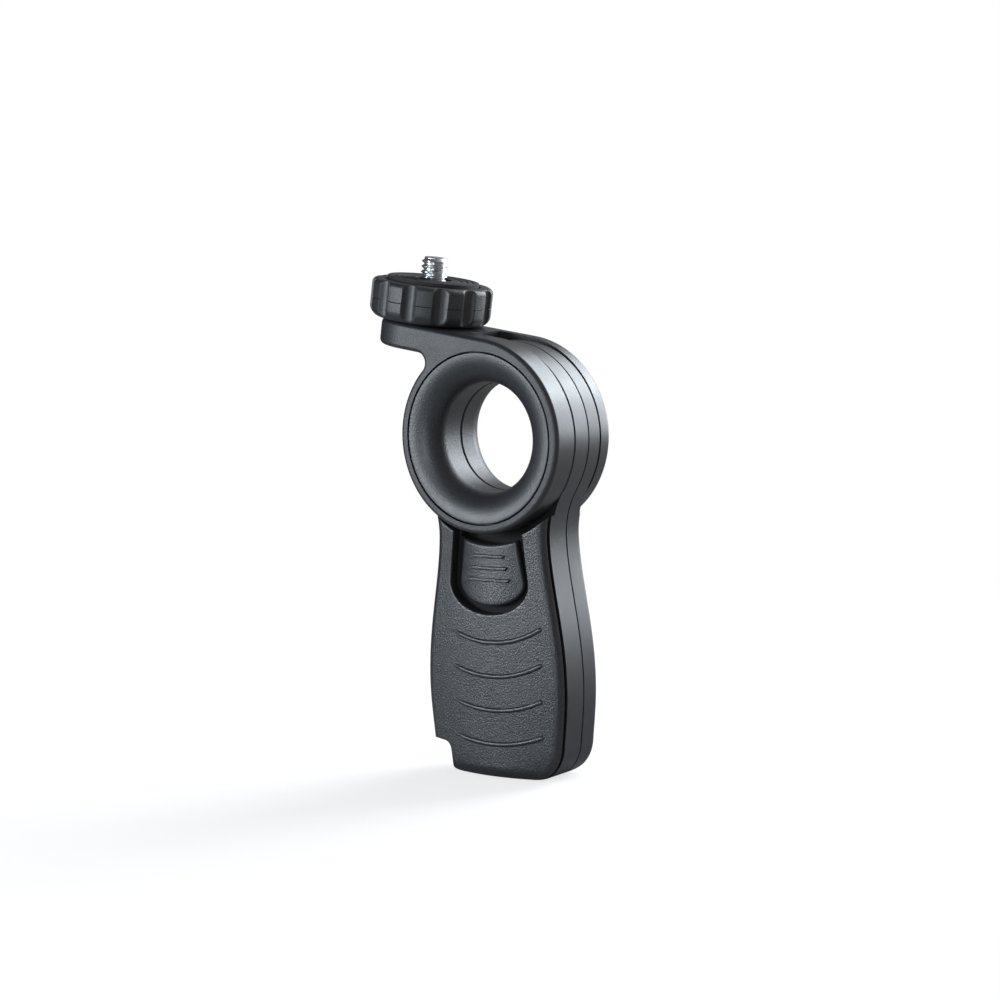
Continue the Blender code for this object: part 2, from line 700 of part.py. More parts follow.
def bush_pocket():
    profile_radius = BUSH_RADIUS + CLEARANCE
    collar_radius = BUSH_COLLAR_RADIUS + CLEARANCE
    collar_foot = BUSH_COLLAR_RISE - CLEARANCE
    collar_top = BUSH_COLLAR_RISE + BUSH_COLLAR_HEIGHT + CLEARANCE
    top = BUSH_HEIGHT + OVERRUN
    return turned("bush_pocket", [(0, top), (profile_radius, top), (profile_radius, collar_top),
                                  (collar_radius, collar_top), (collar_radius, collar_foot),
                                  (profile_radius, collar_foot), (profile_radius, -OVERRUN),
                                  (0, -OVERRUN)], MIDDLE_STEPS, axis="Z")


def slide_channel():
    side = SLIDE_HALF_WIDTH + CLEARANCE
    foot = SLIDE_FOOT - LATCH_TRAVEL - CLEARANCE
    return block("slide_channel", (-side, -(SLIDE_FRONT_DEPTH + CLEARANCE), foot),
                 (side, SLIDE_REAR_DEPTH + CLEARANCE, AXIS_HEIGHT - LINING_RADIUS / 2))


def stem_slot():
    side = STEM_HALF_WIDTH + CLEARANCE
    return block("stem_slot", (-side, -(GRIP_FRONT_DEPTH + OVERRUN),
                               STEM_FOOT - LATCH_TRAVEL - CLEARANCE),
                 (side, -SLIDE_FRONT_DEPTH, STEM_TOP + CLEARANCE))


def drum_bore():
    far = GRIP_FRONT_DEPTH + OVERRUN
    return rod("drum_bore", DRUM_BORE_RADIUS, -far, far, LARGE_STEPS,
               centre=(0, 0, AXIS_HEIGHT))


def glide_outer_radius():
    return DRUM_BORE_RADIUS + CLEARANCE + GLIDE_WIDTH


def glide_seat(name, face, inward):
    """Rebate in a drum face; inward is +1 at the front face and -1 at the rear."""
    depth = GLIDE_THICKNESS + 2 * CLEARANCE - PLATE_GAP
    start = face - inward * OVERRUN
    end = face + inward * depth
    return rod(name, glide_outer_radius() + CLEARANCE, min(start, end), max(start, end),
               LARGE_STEPS, centre=(0, 0, AXIS_HEIGHT))


def front_skin(x, height):
    """Depth of the front face at a place on the grip."""
    share = x / (half_width(height) - FRONT_CORNER_RADIUS)
    return -GRIP_FRONT_DEPTH + FRONT_CROWN * share * share


def grip_rib(number):
    """One smile-shaped rib on the front face that fades out at its left end."""
    share = number / max(1, RIB_COUNT - 1)
    sag = RIB_SAG_TOP + (RIB_SAG_BOTTOM - RIB_SAG_TOP) * share
    foot = RIB_TOP_HEIGHT - RIB_PITCH * number
    radius = (RIB_HALF_SPAN ** 2 + sag ** 2) / (2 * sag)
    swing = math.asin(RIB_HALF_SPAN / radius)
    down = -math.pi / 2
    places = arc((RIB_OFFSET, foot + radius), radius, down - swing, down + swing,
                 RIB_STEPS)
    route = [(x, front_skin(x, z) + RIB_RADIUS - RIB_PROUD, z) for x, z in places]
    fades = [min(1, RIB_FADE_SHARE * (k + 1)) for k in range(len(places))]
    return add_object(f"grip_rib_{number}", tube(f"grip_rib_{number}", route, RIB_RADIUS, 1,
                                                 fades))


def peg(name, radius, length, number):
    """A peg behind the cover, or its hole in the front shell."""
    x, z = PEG_PLACES[number]
    return rod(f"{name}_{number}", radius, COVER_BACK - OVERRUN, COVER_BACK + length,
               SMALL_STEPS, centre=(x, 0, z))


def make_handle():
    form = grip_form()
    core = core_form()
    split = CLEARANCE / 2
    far = GRIP_FRONT_DEPTH + OVERRUN
    spigot_foot = SHELF_TOP - OVERRUN
    bore = drum_bore()
    bush = bush_pocket()
    channel = slide_channel()

    front = half_space("handle_front_shell", -far, -split)
    combine(front, form, "INTERSECT")
    cut(front, core, shadow_gap(), channel, stem_slot(), bore, bush,
        glide_seat("glide_seat_front", -DRUM_FRONT_DEPTH, 1))
    spigot = rod("shelf_spigot", SPIGOT_RADIUS, spigot_foot, SHELF_TOP + SPIGOT_HEIGHT,
                 SMALL_STEPS, axis="Z", centre=(0, -SPRING_DEPTH, 0))
    join(front, spigot)
    for number, (x, z) in enumerate(SCREW_PLACES):
        cut(front, rod(f"screw_pilot_{number}", SCREW_RADIUS + CLEARANCE, CORE_FRONT, 0,
                       SMALL_STEPS, centre=(x, 0, z)))
    for number in range(len(PEG_PLACES)):
        cut(front, peg("peg_hole", PEG_RADIUS + CLEARANCE, PEG_LENGTH + CLEARANCE, number))
    finish(front, SATIN_ABS, 0.4)

    cover = half_space("grip_cover", -far, COVER_BACK)
    combine(cover, form, "INTERSECT")
    cut(cover, cover_window())
    for number in range(RIB_COUNT):
        join(cover, grip_rib(number))
    for number in range(len(PEG_PLACES)):
        join(cover, peg("cover_peg", PEG_RADIUS, PEG_LENGTH, number))
    finish(cover, GRAINED_ABS, 0.55)

    rear = half_space("handle_rear_shell", split, far)
    combine(rear, form, "INTERSECT")
    cut(rear, core, channel, bore, bush,
        glide_seat("glide_seat_rear", DRUM_REAR_DEPTH, -1))
    seat = GRIP_REAR_DEPTH - SCREW_RECESS_DEPTH
    for number, (x, z) in enumerate(SCREW_PLACES):
        cut(rear,
            rod(f"screw_way_{number}", SCREW_RADIUS + CLEARANCE, 0, far, SMALL_STEPS,
                centre=(x, 0, z)),
            rod(f"screw_recess_{number}", SCREW_HEAD_RADIUS + CLEARANCE, seat, far,
                SMALL_STEPS, centre=(x, 0, z)))
    finish(rear, SATIN_ABS, 0.45)


# Fasteners and fittings of the grip

def driver_recess(name, centre, face):
    """A cross recess that opens towards +Y at a screw's face, its upright slot deeper."""
    half = DRIVE_ACROSS / 2
    thin = DRIVE_SLOT_WIDTH / 2
    x, z = centre
    top = face + OVERRUN
    foot = face - DRIVE_DEPTH
    flat = block(name + "_flat", (x - half, foot, z - thin), (x + half, top, z + thin))
    upright = block(name + "_upright", (x - thin, foot - DRIVE_STEP, z - half),
                    (x + thin, top, z + half))
    return join(flat, upright)


def make_shell_screws():
    """Four pan head screws from the rear."""
    seat = GRIP_REAR_DEPTH - SCREW_RECESS_DEPTH + CLEARANCE
    head_top = seat + SCREW_HEAD_HEIGHT
    profile = [(0, head_top), (SCREW_HEAD_RADIUS - EDGE_CHAMFER, head_top),
               (SCREW_HEAD_RADIUS, head_top - EDGE_CHAMFER), (SCREW_HEAD_RADIUS, seat),
               (SCREW_RADIUS, seat), (SCREW_RADIUS, seat - SCREW_LENGTH),
               (0, seat - SCREW_LENGTH)]
    for number, (x, z) in enumerate(SCREW_PLACES):
        screw = turned(f"shell_screw_{number + 1}", profile, SMALL_STEPS, centre=(x, 0, z),
                       collection=PARTS)
        cut(screw, driver_recess(f"drive_{number + 1}", (x, z), head_top))
        finish(screw, STEEL, 0.35, 1.0)


def make_tripod_insert():
    collar_top = BUSH_COLLAR_RISE + BUSH_COLLAR_HEIGHT
    chamfer = EDGE_CHAMFER
    profile = [(SOCKET_BORE_RADIUS + chamfer, BUSH_HEIGHT), (BUSH_RADIUS - chamfer, BUSH_HEIGHT),
               (BUSH_RADIUS, BUSH_HEIGHT - chamfer), (BUSH_RADIUS, collar_top),
               (BUSH_COLLAR_RADIUS, collar_top), (BUSH_COLLAR_RADIUS, BUSH_COLLAR_RISE),
               (BUSH_RADIUS, BUSH_COLLAR_RISE), (BUSH_RADIUS, 0),
               (SOCKET_BORE_RADIUS + chamfer, 0), (SOCKET_BORE_RADIUS, chamfer),
               (SOCKET_BORE_RADIUS, BUSH_HEIGHT - chamfer)]
    bush = turned("tripod_insert", profile, MIDDLE_STEPS, axis="Z", collection=PARTS)
    finish(bush, BRASS, 0.3, 1.0)


def make_glide_ring(name, face, outward):
    """A flat ring in a drum face; outward is -1 at the front and +1 at the rear."""
    outer = face + outward * (PLATE_GAP - CLEARANCE)
    inner = outer - outward * GLIDE_THICKNESS
    low = min(outer, inner)
    high = max(outer, inner)
    rim = glide_outer_radius()
    ring = turned(name, [(rim - GLIDE_WIDTH, high), (rim, high), (rim, low),
                         (rim - GLIDE_WIDTH, low)], MIDDLE_STEPS,
                  centre=(0, 0, AXIS_HEIGHT), collection=PARTS)
    finish(ring, POM, 0.4)


# Latch

def make_button():
    button = prism("latch_button", thumb_outline(0, BUTTON_TOP_RADIUS), BUTTON_FACE,
                   BUTTON_BACK, collection=PARTS)
    bevel(button, BUTTON_EDGE_RADIUS, 2)
    crown_steps = LARGE_STEPS * 3
    crown = rod("button_crown", BUTTON_CROWN_RADIUS, 0, AXIS_HEIGHT, crown_steps, axis="Z",
                centre=(0, BUTTON_FACE + BUTTON_CROWN_RADIUS, 0))
    crown.rotation_euler = (0, 0, math.pi / crown_steps)
    combine(button, crown, "INTERSECT")
    bar_top = AXIS_HEIGHT - BUTTON_TOP_RADIUS - BUTTON_BAR_PITCH
    thick = BUTTON_BAR_HEIGHT / 2
    for number in range(BUTTON_BAR_COUNT):
        half = BUTTON_BAR_HALF_LENGTH + BUTTON_BAR_GROWTH * number
        height = bar_top - BUTTON_BAR_PITCH * number
        join(button, block(f"button_bar_{number}",
                           (-half, BUTTON_FACE - BUTTON_BAR_PROUD, height - thick),
                           (half, BUTTON_FACE + BUTTON_EDGE_RADIUS, height + thick)))
    cut(button, rod("button_pilot", LATCH_SCREW_RADIUS + CLEARANCE,
                    LATCH_SCREW_TIP - CLEARANCE, BUTTON_BACK + OVERRUN, SMALL_STEPS,
                    centre=(0, 0, LATCH_SCREW_HEIGHT)))
    finish(button, GRAINED_ABS, 0.5, parent=LATCH_GUIDE)


def make_slide():
    """Carrier with a concave seat for the lining, a stem for the button and a spigot."""
    slide = block("latch_slide", (-SLIDE_HALF_WIDTH, -SLIDE_FRONT_DEPTH, SLIDE_FOOT),
                  (SLIDE_HALF_WIDTH, SLIDE_REAR_DEPTH, AXIS_HEIGHT - SLIDE_HALF_WIDTH), PARTS)
    cut(slide, rod("cradle", SLIDE_CRADLE_RADIUS, -GRIP_FRONT_DEPTH, GRIP_FRONT_DEPTH,
                   LARGE_STEPS, centre=(0, 0, AXIS_HEIGHT)))
    stem = block("slide_stem", (-STEM_HALF_WIDTH, COVER_SEAT, STEM_FOOT),
                 (STEM_HALF_WIDTH, -SLIDE_FRONT_DEPTH + OVERRUN, STEM_TOP))
    spigot = rod("slide_spigot", SPIGOT_RADIUS, SLIDE_FOOT - SPIGOT_HEIGHT,
                 SLIDE_FOOT + OVERRUN, SMALL_STEPS, axis="Z", centre=(0, -SPRING_DEPTH, 0))
    join(slide, stem, spigot)
    far = SLIDE_REAR_DEPTH + OVERRUN
    place = (0, 0, LATCH_SCREW_HEIGHT)
    cut(slide,
        rod("slide_screw_way", LATCH_SCREW_RADIUS + CLEARANCE, COVER_SEAT - OVERRUN, far,
            SMALL_STEPS, centre=place),
        rod("slide_screw_seat", LATCH_SCREW_HEAD_RADIUS + CLEARANCE,
            LATCH_SCREW_SEAT - CLEARANCE, far, SMALL_STEPS, centre=place))
    finish(slide, SATIN_ABS, 0.45, parent=LATCH_GUIDE)


def make_latch_screw():
    head_top = LATCH_SCREW_SEAT + LATCH_SCREW_HEAD_HEIGHT
    screw = turned("latch_screw",
                   [(0, head_top), (LATCH_SCREW_HEAD_RADIUS, head_top),
                    (LATCH_SCREW_HEAD_RADIUS, LATCH_SCREW_SEAT),
                    (LATCH_SCREW_RADIUS, LATCH_SCREW_SEAT),
                    (LATCH_SCREW_RADIUS, LATCH_SCREW_TIP), (0, LATCH_SCREW_TIP)],
                   SMALL_STEPS, centre=(0, 0, LATCH_SCREW_HEIGHT), collection=PARTS)
    cut(screw, driver_recess("latch_drive", (0, LATCH_SCREW_HEIGHT), head_top))
    finish(screw, STEEL, 0.35, 1.0, parent=LATCH_GUIDE)


def make_lining():
    """Curved friction lining between the slide and the brake drum."""
    outer = LINING_RADIUS + LINING_THICKNESS
    start = -(SLIDE_FRONT_DEPTH - CLEARANCE)
    end = SLIDE_REAR_DEPTH - CLEARANCE
    lining = turned("brake_lining", [(LINING_RADIUS, end), (outer, end), (outer, start),
                                     (LINING_RADIUS, start)], LARGE_STEPS,
                    centre=(0, 0, AXIS_HEIGHT), collection=PARTS)
    window = block("lining_window",
                   (-LINING_HALF_WIDTH, -GRIP_FRONT_DEPTH, AXIS_HEIGHT - outer - OVERRUN),
                   (LINING_HALF_WIDTH, GRIP_FRONT_DEPTH, AXIS_HEIGHT - LINING_HALF_WIDTH))
    combine(lining, window, "INTERSECT")
    finish(lining, LINING, 0.8, parent=LATCH_GUIDE)


def make_spring():
    """Compression spring between the shelf and the slide, as one unbroken wire."""
    count = SPRING_TURNS * SPRING_STEPS
    rise = SPRING_LENGTH - 2 * SPRING_WIRE_RADIUS
    route = []
    for k in range(count + 1):
        angle = 2 * math.pi * k / SPRING_STEPS
        route.append((SPRING_COIL_RADIUS * math.cos(angle),
                      -SPRING_DEPTH + SPRING_COIL_RADIUS * math.sin(angle),
                      SPRING_FOOT + SPRING_WIRE_RADIUS + rise * k / count))
    spring = add_object("latch_spring", tube("latch_spring", route, SPRING_WIRE_RADIUS, 1),
                        PARTS)
    finish(spring, STEEL, 0.3, 1.0)


# Fork arm, in the arm's frame

def fork_outline():
    """Ring, platform and the crest that blends them, seen from the front."""
    lift = math.sin(CREST_ANGLE)
    crest_radius = (PLATFORM_TOP - DRUM_RADIUS * lift) / (1 - lift)
    back = crest_radius - DRUM_RADIUS
    crest = (-back * math.cos(CREST_ANGLE), -back * lift)
    notch_z = PLATFORM_UNDERSIDE - PLATFORM_NOTCH_RADIUS
    reach = DRUM_RADIUS + PLATFORM_NOTCH_RADIUS
    notch = (-math.sqrt(reach ** 2 - notch_z ** 2), notch_z)
    notch_angle = math.atan2(notch_z, notch[0])
    quarter = math.pi / 2
    end = -(STUD_REACH + PLATFORM_END_RADIUS + OVERRUN)
    points = [(end, PLATFORM_TOP)]
    points += arc(crest, crest_radius, quarter, CREST_ANGLE, 9)
    points += arc((0, 0), DRUM_RADIUS, CREST_ANGLE, notch_angle - 4 * quarter, 30)[1:]
    points += arc(notch, PLATFORM_NOTCH_RADIUS, notch_angle - 2 * quarter, quarter, 5)[1:]
    points += [(end, PLATFORM_UNDERSIDE)]
    return points


def fork_slot():
    """Room between the plates for the drum, open to the right of the bridge."""
    radius = DRUM_RADIUS + FORK_DRUM_GAP
    far = STUD_REACH
    start = math.acos(-BRIDGE_OFFSET / radius)
    points = arc((0, 0), radius, start, 2 * math.pi, 36)
    points += [(far, 0), (far, far), (-BRIDGE_OFFSET, far)]
    return prism("fork_slot", points, FRONT_PLATE_INNER, REAR_PLATE_INNER)


def platform_plan():
    """Plan of the arm: straight sides with a half round end about the stud."""
    far = STUD_REACH
    side = PLATFORM_END_RADIUS
    quarter = math.pi / 2
    over = side + OVERRUN
    plan = [(far, ARM_MID_DEPTH - over), (far, ARM_MID_DEPTH + over),
            (-STUD_REACH, ARM_MID_DEPTH + over)]
    plan += arc((-STUD_REACH, ARM_MID_DEPTH), side, quarter, 3 * quarter, 16)
    plan += [(-STUD_REACH, ARM_MID_DEPTH - over)]
    tall = DRUM_RADIUS + PLATFORM_TOP
    return prism("platform_plan", plan, -tall, tall, axis="Z")


def make_arm_fork():
    fork = prism("arm_fork", fork_outline(), FRONT_FACE, REAR_FACE, collection=PARTS)
    shapes = [platform_plan()]
    combine(fork, shapes[0], "INTERSECT")
    bevel(fork, FORK_EDGE_RADIUS, 2, math.radians(50))
    seat_depth = FLANGE_THICKNESS + CLEARANCE
    far_front = FRONT_FACE - OVERRUN
    far_rear = REAR_FACE + OVERRUN
    stud_place = (-STUD_REACH, ARM_MID_DEPTH, 0)
    under = PLATFORM_UNDERSIDE - OVERRUN
    shapes += [
        fork_slot(),
        rod("hub_way", STEP_RADIUS + CLEARANCE, far_front, far_rear, LARGE_STEPS),
        rod("front_seat", FLANGE_RADIUS + CLEARANCE, far_front, FRONT_FACE + seat_depth,
            LARGE_STEPS),
        rod("rear_seat", FLANGE_RADIUS + CLEARANCE, REAR_FACE - seat_depth, far_rear,
            LARGE_STEPS),
        rod("stud_way", STUD_RADIUS + CLEARANCE, under, PLATFORM_TOP + OVERRUN, SMALL_STEPS,
            axis="Z", centre=stud_place),
        rod("stud_pocket", STUD_HEAD_RADIUS + CLEARANCE, under, STUD_HEAD_TOP + CLEARANCE, 6,
            axis="Z", centre=stud_place),
        rod("cap_seat", CAP_RADIUS + CLEARANCE, under, CAP_SEAT, MIDDLE_STEPS,
            axis="Z", centre=stud_place),
    ]
    cut(fork, *shapes[1:])
    for shape in shapes:
        shape.parent = ARM_PIVOT
    finish(fork, GRAINED_ABS, 0.5, parent=ARM_PIVOT)


def flare(throat, face):
    """Quarter ellipse from the bore out to the flange's rim, from throat to face."""
    reach = FLANGE_RADIUS - BORE_RADIUS
    points = []
    for k in range(FLARE_STEPS + 1):
        angle = math.pi / 2 * k / FLARE_STEPS
        points.append((FLANGE_RADIUS - reach * math.cos(angle),
                       throat + (face - throat) * math.sin(angle)))
    return points


def make_bezels():
    """Front and rear bezels meet inside the brake drum and form the hollow hub."""
    half_gap = CLEARANCE / 2
    step = FRONT_FACE + FLANGE_THICKNESS
    inner_end = FRONT_PLATE_INNER
    seam = -BORE_SEAM_DEPTH - half_gap
    outside = [(BORE_RADIUS, seam), (SLEEVE_RADIUS, seam), (SLEEVE_RADIUS, inner_end),
               (STEP_RADIUS, inner_end), (STEP_RADIUS, step), (FLANGE_RADIUS, step)]
    inside = flare(FRONT_FACE + FRONT_THROAT_DEPTH, FRONT_FACE)
    front = turned("front_bezel", outside + inside[::-1], LARGE_STEPS, collection=PARTS)
    key_start = FRONT_PLATE_INNER - OVERRUN
    for number in range(KEY_COUNT):
        join(front, key(f"bezel_key_{number}", number, KEY_WIDTH, SLEEVE_RADIUS + KEY_HEIGHT,
                        key_start, seam - CLEARANCE))
    finish(front, SATIN_ABS, 0.4, parent=ARM_PIVOT)

    step = REAR_FACE - FLANGE_THICKNESS
    inner_end = REAR_PLATE_INNER
    seam = -BORE_SEAM_DEPTH + half_gap
    inside = flare(REAR_FACE - REAR_THROAT_DEPTH, REAR_FACE)
    outside = [(FLANGE_RADIUS, step), (STEP_RADIUS, step), (STEP_RADIUS, inner_end),
               (SLEEVE_RADIUS, inner_end), (SLEEVE_RADIUS, seam), (BORE_RADIUS, seam)]
    rear = turned("rear_bezel", inside + outside, LARGE_STEPS, collection=PARTS)
    finish(rear, SATIN_ABS, 0.4, parent=ARM_PIVOT)


def key(name, number, width, radius, start, end):
    """A drive key on the sleeve, or its slot in the brake drum."""
    item = block(name, (-width / 2, start, SLEEVE_RADIUS - OVERRUN), (width / 2, end, radius))
    item.rotation_euler = (0, 2 * math.pi * number / KEY_COUNT, 0)
    item.parent = ARM_PIVOT
    return item


def make_brake_drum():
    inner = SLEEVE_RADIUS + CLEARANCE
    chamfer = EDGE_CHAMFER
    start = FRONT_PLATE_INNER + CLEARANCE
    end = REAR_PLATE_INNER - CLEARANCE
    profile = [(inner, end), (BRAKE_RADIUS - chamfer, end), (BRAKE_RADIUS, end - chamfer),
               (BRAKE_RADIUS, start + chamfer), (BRAKE_RADIUS - chamfer, start), (inner, start)]
    drum = turned("brake_drum", profile, LARGE_STEPS, collection=PARTS)
    for number in range(KEY_COUNT):
        cut(drum, key(f"drum_key_{number}", number, KEY_WIDTH + 2 * CLEARANCE,
                      SLEEVE_RADIUS + KEY_HEIGHT + CLEARANCE, start - OVERRUN,
                      -BORE_SEAM_DEPTH))
    finish(drum, STEEL, 0.45, 1.0, parent=ARM_PIVOT)


def make_stud():
    stud = turned("camera_stud",
                  [(0, STUD_TIP), (STUD_RADIUS - STUD_CHAMFER, STUD_TIP),
                   (STUD_RADIUS, STUD_TIP - STUD_CHAMFER), (STUD_RADIUS, CAP_SEAT),
                   (0, CAP_SEAT)], MIDDLE_STEPS, axis="Z", collection=PARTS)
    head = rod("stud_head", STUD_HEAD_RADIUS, CAP_SEAT, STUD_HEAD_TOP, 6, axis="Z")
    head.parent = WHEEL_PIVOT
    join(stud, head)
    finish(stud, STEEL, 0.3, 1.0, parent=WHEEL_PIVOT)

    cap = turned("stud_cap", [(0, CAP_SEAT - CLEARANCE), (CAP_RADIUS, CAP_SEAT - CLEARANCE),
                              (CAP_RADIUS, PLATFORM_UNDERSIDE + EDGE_CHAMFER),
                              (CAP_RADIUS - EDGE_CHAMFER, PLATFORM_UNDERSIDE),
                              (0, PLATFORM_UNDERSIDE)], MIDDLE_STEPS, axis="Z",
                 collection=PARTS)
    finish(cap, GRAINED_ABS, 0.5, parent=WHEEL_PIVOT)


# Lock wheel and pad

def wheel_profile():
    """Right half of the wheel's section, rounded at the top and more so below."""
    quarter = math.pi / 2
    seat = WHEEL_TOP - PAD_SEAT_DEPTH
    seat_radius = PAD_RADIUS + CLEARANCE
    points = [(WHEEL_BORE_RADIUS, seat), (seat_radius, seat), (seat_radius, WHEEL_TOP)]
    points += arc((WHEEL_RADIUS - WHEEL_TOP_ROUND, WHEEL_TOP - WHEEL_TOP_ROUND),
                  WHEEL_TOP_ROUND, quarter, 0, 2)
    points += arc((WHEEL_RADIUS - WHEEL_BOTTOM_ROUND, WHEEL_FOOT + WHEEL_BOTTOM_ROUND),
                  WHEEL_BOTTOM_ROUND, 0, -quarter, 3)
    points += [(WHEEL_BORE_RADIUS, WHEEL_FOOT)]
    return points


def make_lock_wheel():
    wheel = turned("lock_wheel", wheel_profile(), FLUTE_COUNT * FLUTE_STEPS, axis="Z",
                   collection=PARTS)
    reach = WHEEL_RADIUS + FLUTE_RADIUS - FLUTE_DEPTH
    for number in range(FLUTE_COUNT):
        angle = 2 * math.pi * (number + 1 / 2) / FLUTE_COUNT
        flute = rod(f"wheel_flute_{number}", FLUTE_RADIUS, WHEEL_FOOT - OVERRUN,
                    WHEEL_TOP + OVERRUN, SMALL_STEPS, axis="Z",
                    centre=(reach * math.cos(angle), reach * math.sin(angle), 0))
        flute.parent = WHEEL_PIVOT
        cut(wheel, flute)
    pocket = rod("wheel_bush_pocket", WHEEL_BUSH_RADIUS + CLEARANCE, WHEEL_FOOT - OVERRUN,
                 WHEEL_FOOT + WHEEL_BUSH_HEIGHT + CLEARANCE, 6, axis="Z")
    pocket.parent = WHEEL_PIVOT
    cut(wheel, pocket)
    finish(wheel, GRAINED_ABS, 0.5, parent=WHEEL_PIVOT)

    top = WHEEL_FOOT + WHEEL_BUSH_HEIGHT
    bush = rod("wheel_insert", WHEEL_BUSH_RADIUS, WHEEL_FOOT, top, 6, axis="Z",
               collection=PARTS)
    bore = rod("wheel_insert_bore", STUD_RADIUS + CLEARANCE, WHEEL_FOOT - OVERRUN,
               top + OVERRUN, MIDDLE_STEPS, axis="Z")
    bore.parent = WHEEL_PIVOT
    cut(bush, bore)
    finish(bush, BRASS, 0.3, 1.0, parent=WHEEL_PIVOT)


def make_camera_pad():
    pad = turned("camera_pad", [(PAD_BORE_RADIUS, PAD_TOP), (PAD_RADIUS, PAD_TOP),
                                (PAD_RADIUS, PAD_FOOT), (PAD_BORE_RADIUS, PAD_FOOT)],
                 MIDDLE_STEPS, axis="Z", collection=PARTS)
    finish(pad, RUBBER, 0.85, parent=WHEEL_PIVOT)


make_handle()
make_shell_screws()
make_tripod_insert()
make_glide_ring("front_glide_ring", -DRUM_FRONT_DEPTH, -1)
make_glide_ring("rear_glide_ring", DRUM_REAR_DEPTH, 1)
make_button()
make_slide()
make_latch_screw()
make_lining()
make_spring()
make_arm_fork()
make_bezels()
make_brake_drum()
make_stud()
make_lock_wheel()
make_camera_pad()
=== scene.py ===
"""Rotating camera mount: the looks of a hand grip with a hollow hub and a turning fork arm.

Every size is in metres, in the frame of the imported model: +Z is up along the grip, the front
looks towards -Y, and the two grip shells part at y = 0. The arm's pieces are drawn in the
arm's own frame, which leans by ARM_TILT about the hub.
"""

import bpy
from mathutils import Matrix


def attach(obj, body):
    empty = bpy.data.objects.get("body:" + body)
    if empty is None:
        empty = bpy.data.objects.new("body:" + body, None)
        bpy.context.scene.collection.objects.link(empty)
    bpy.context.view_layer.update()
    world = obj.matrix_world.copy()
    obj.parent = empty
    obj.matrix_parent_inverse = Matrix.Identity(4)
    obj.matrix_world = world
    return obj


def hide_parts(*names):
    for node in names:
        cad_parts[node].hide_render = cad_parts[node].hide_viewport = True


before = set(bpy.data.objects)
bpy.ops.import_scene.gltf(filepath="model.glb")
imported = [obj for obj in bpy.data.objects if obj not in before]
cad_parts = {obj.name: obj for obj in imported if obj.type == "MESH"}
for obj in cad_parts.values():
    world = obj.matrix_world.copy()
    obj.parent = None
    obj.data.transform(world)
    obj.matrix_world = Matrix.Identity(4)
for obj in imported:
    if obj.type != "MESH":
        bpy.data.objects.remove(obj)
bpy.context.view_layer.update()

import math

import bmesh
import bpy
from mathutils import Matrix, Vector

bl_info = {
    "name": "Rotating Camera Mount",
    "version": (1, 0, 0),
    "blender": (4, 5, 0),
    "location": "View3D > Sidebar > Camera Mount",
    "description": "Dresses the packed camera mount in moulded plastic, metal and rubber",
    "category": "Object",
}

MM = 0.001
QUARTER = math.pi / 2
TURN = 4 * QUARTER

# Running gap between pieces, overrun of every cutter, reach of cutters past the grip, distance
# at which points are welded, least step between the rings of a cutter's lip, and chamfer of
# turned ends.
CLEARANCE = 0.3 * MM
OVERRUN = 1.0 * MM
FAR = 14.0 * MM
WELD = 0.002 * MM
LIP_LAP = 0.02 * MM
EDGE_CHAMFER = 0.3 * MM

# Hub of the arm, from its bore outwards.
BORE_RADIUS = 12.7 * MM
SLEEVE_RADIUS = 14.4 * MM
STEP_RADIUS = 17.2 * MM
FLANGE_RADIUS = 19.7 * MM
DRUM_RADIUS = 22.0 * MM
DRUM_BORE_RADIUS = 18.2 * MM
LINING_RADIUS = 18.2 * MM
FLANGE_THICKNESS = 1.75 * MM
FRONT_THROAT_DEPTH = 5.38 * MM
REAR_THROAT_DEPTH = 6.4 * MM
BORE_SEAM = -1.7 * MM
KEY_COUNT = 3
KEY_WIDTH = 2.4 * MM
KEY_HEIGHT = 0.9 * MM

# Grip outline, seen from the front.
AXIS_HEIGHT = 79.4 * MM
WAIST_HALF_WIDTH = 15.25 * MM
NECK_FILLET_RADIUS = 20.0 * MM
BULGE_HALF_WIDTH = 19.15 * MM
BULGE_HEIGHT = 21.9 * MM
BASE_HALF_WIDTH = 17.6 * MM
BASE_CORNER_RADIUS = 8.0 * MM
SWELL_SHARE = 0.88

# Grip section: depth, crown and corner radius of the front (-1) and the rear (+1).
FACES = {-1: (10.6 * MM, 1.1 * MM, 2.4 * MM), 1: (7.0 * MM, 0.4 * MM, 2.0 * MM)}
BASE_EDGE_RADIUS = 3.0 * MM
SHELL_WALL = 2.2 * MM
BASE_WALL = 3.0 * MM

# Front cover and the shadow gap behind its rim.
COVER_BACK = -7.7 * MM
COVER_SEAT = -7.4 * MM
COVER_FOOT = 0.3 * MM
COVER_FOOT_ANGLE = 0.05
COVER_LIFT_MOST = 0.999
CORE_FRONT = -5.6 * MM
CORE_REAR = 4.4 * MM
GROOVE_END = -6.8 * MM
SHADOW_GAP_DEPTH = 0.8 * MM

# Drum between the fork's plates, and the shoulder that the fork turns in.
DRUM_DEPTHS = {-1: 5.65 * MM, 1: 4.8 * MM}
SHOULDER_RADIUS = 23.8 * MM
GLIDE_SEAT_RADIUS = 21.2 * MM
GLIDE_SEAT_DEPTH = 0.8 * MM

# Strap notch at the bottom left.
NOTCH_WALL_OFFSET = 12.2 * MM
NOTCH_HEIGHT = 7.7 * MM
NOTCH_FILLET_RADIUS = 2.2 * MM
NOTCH_CORNER_RADIUS = 1.8 * MM

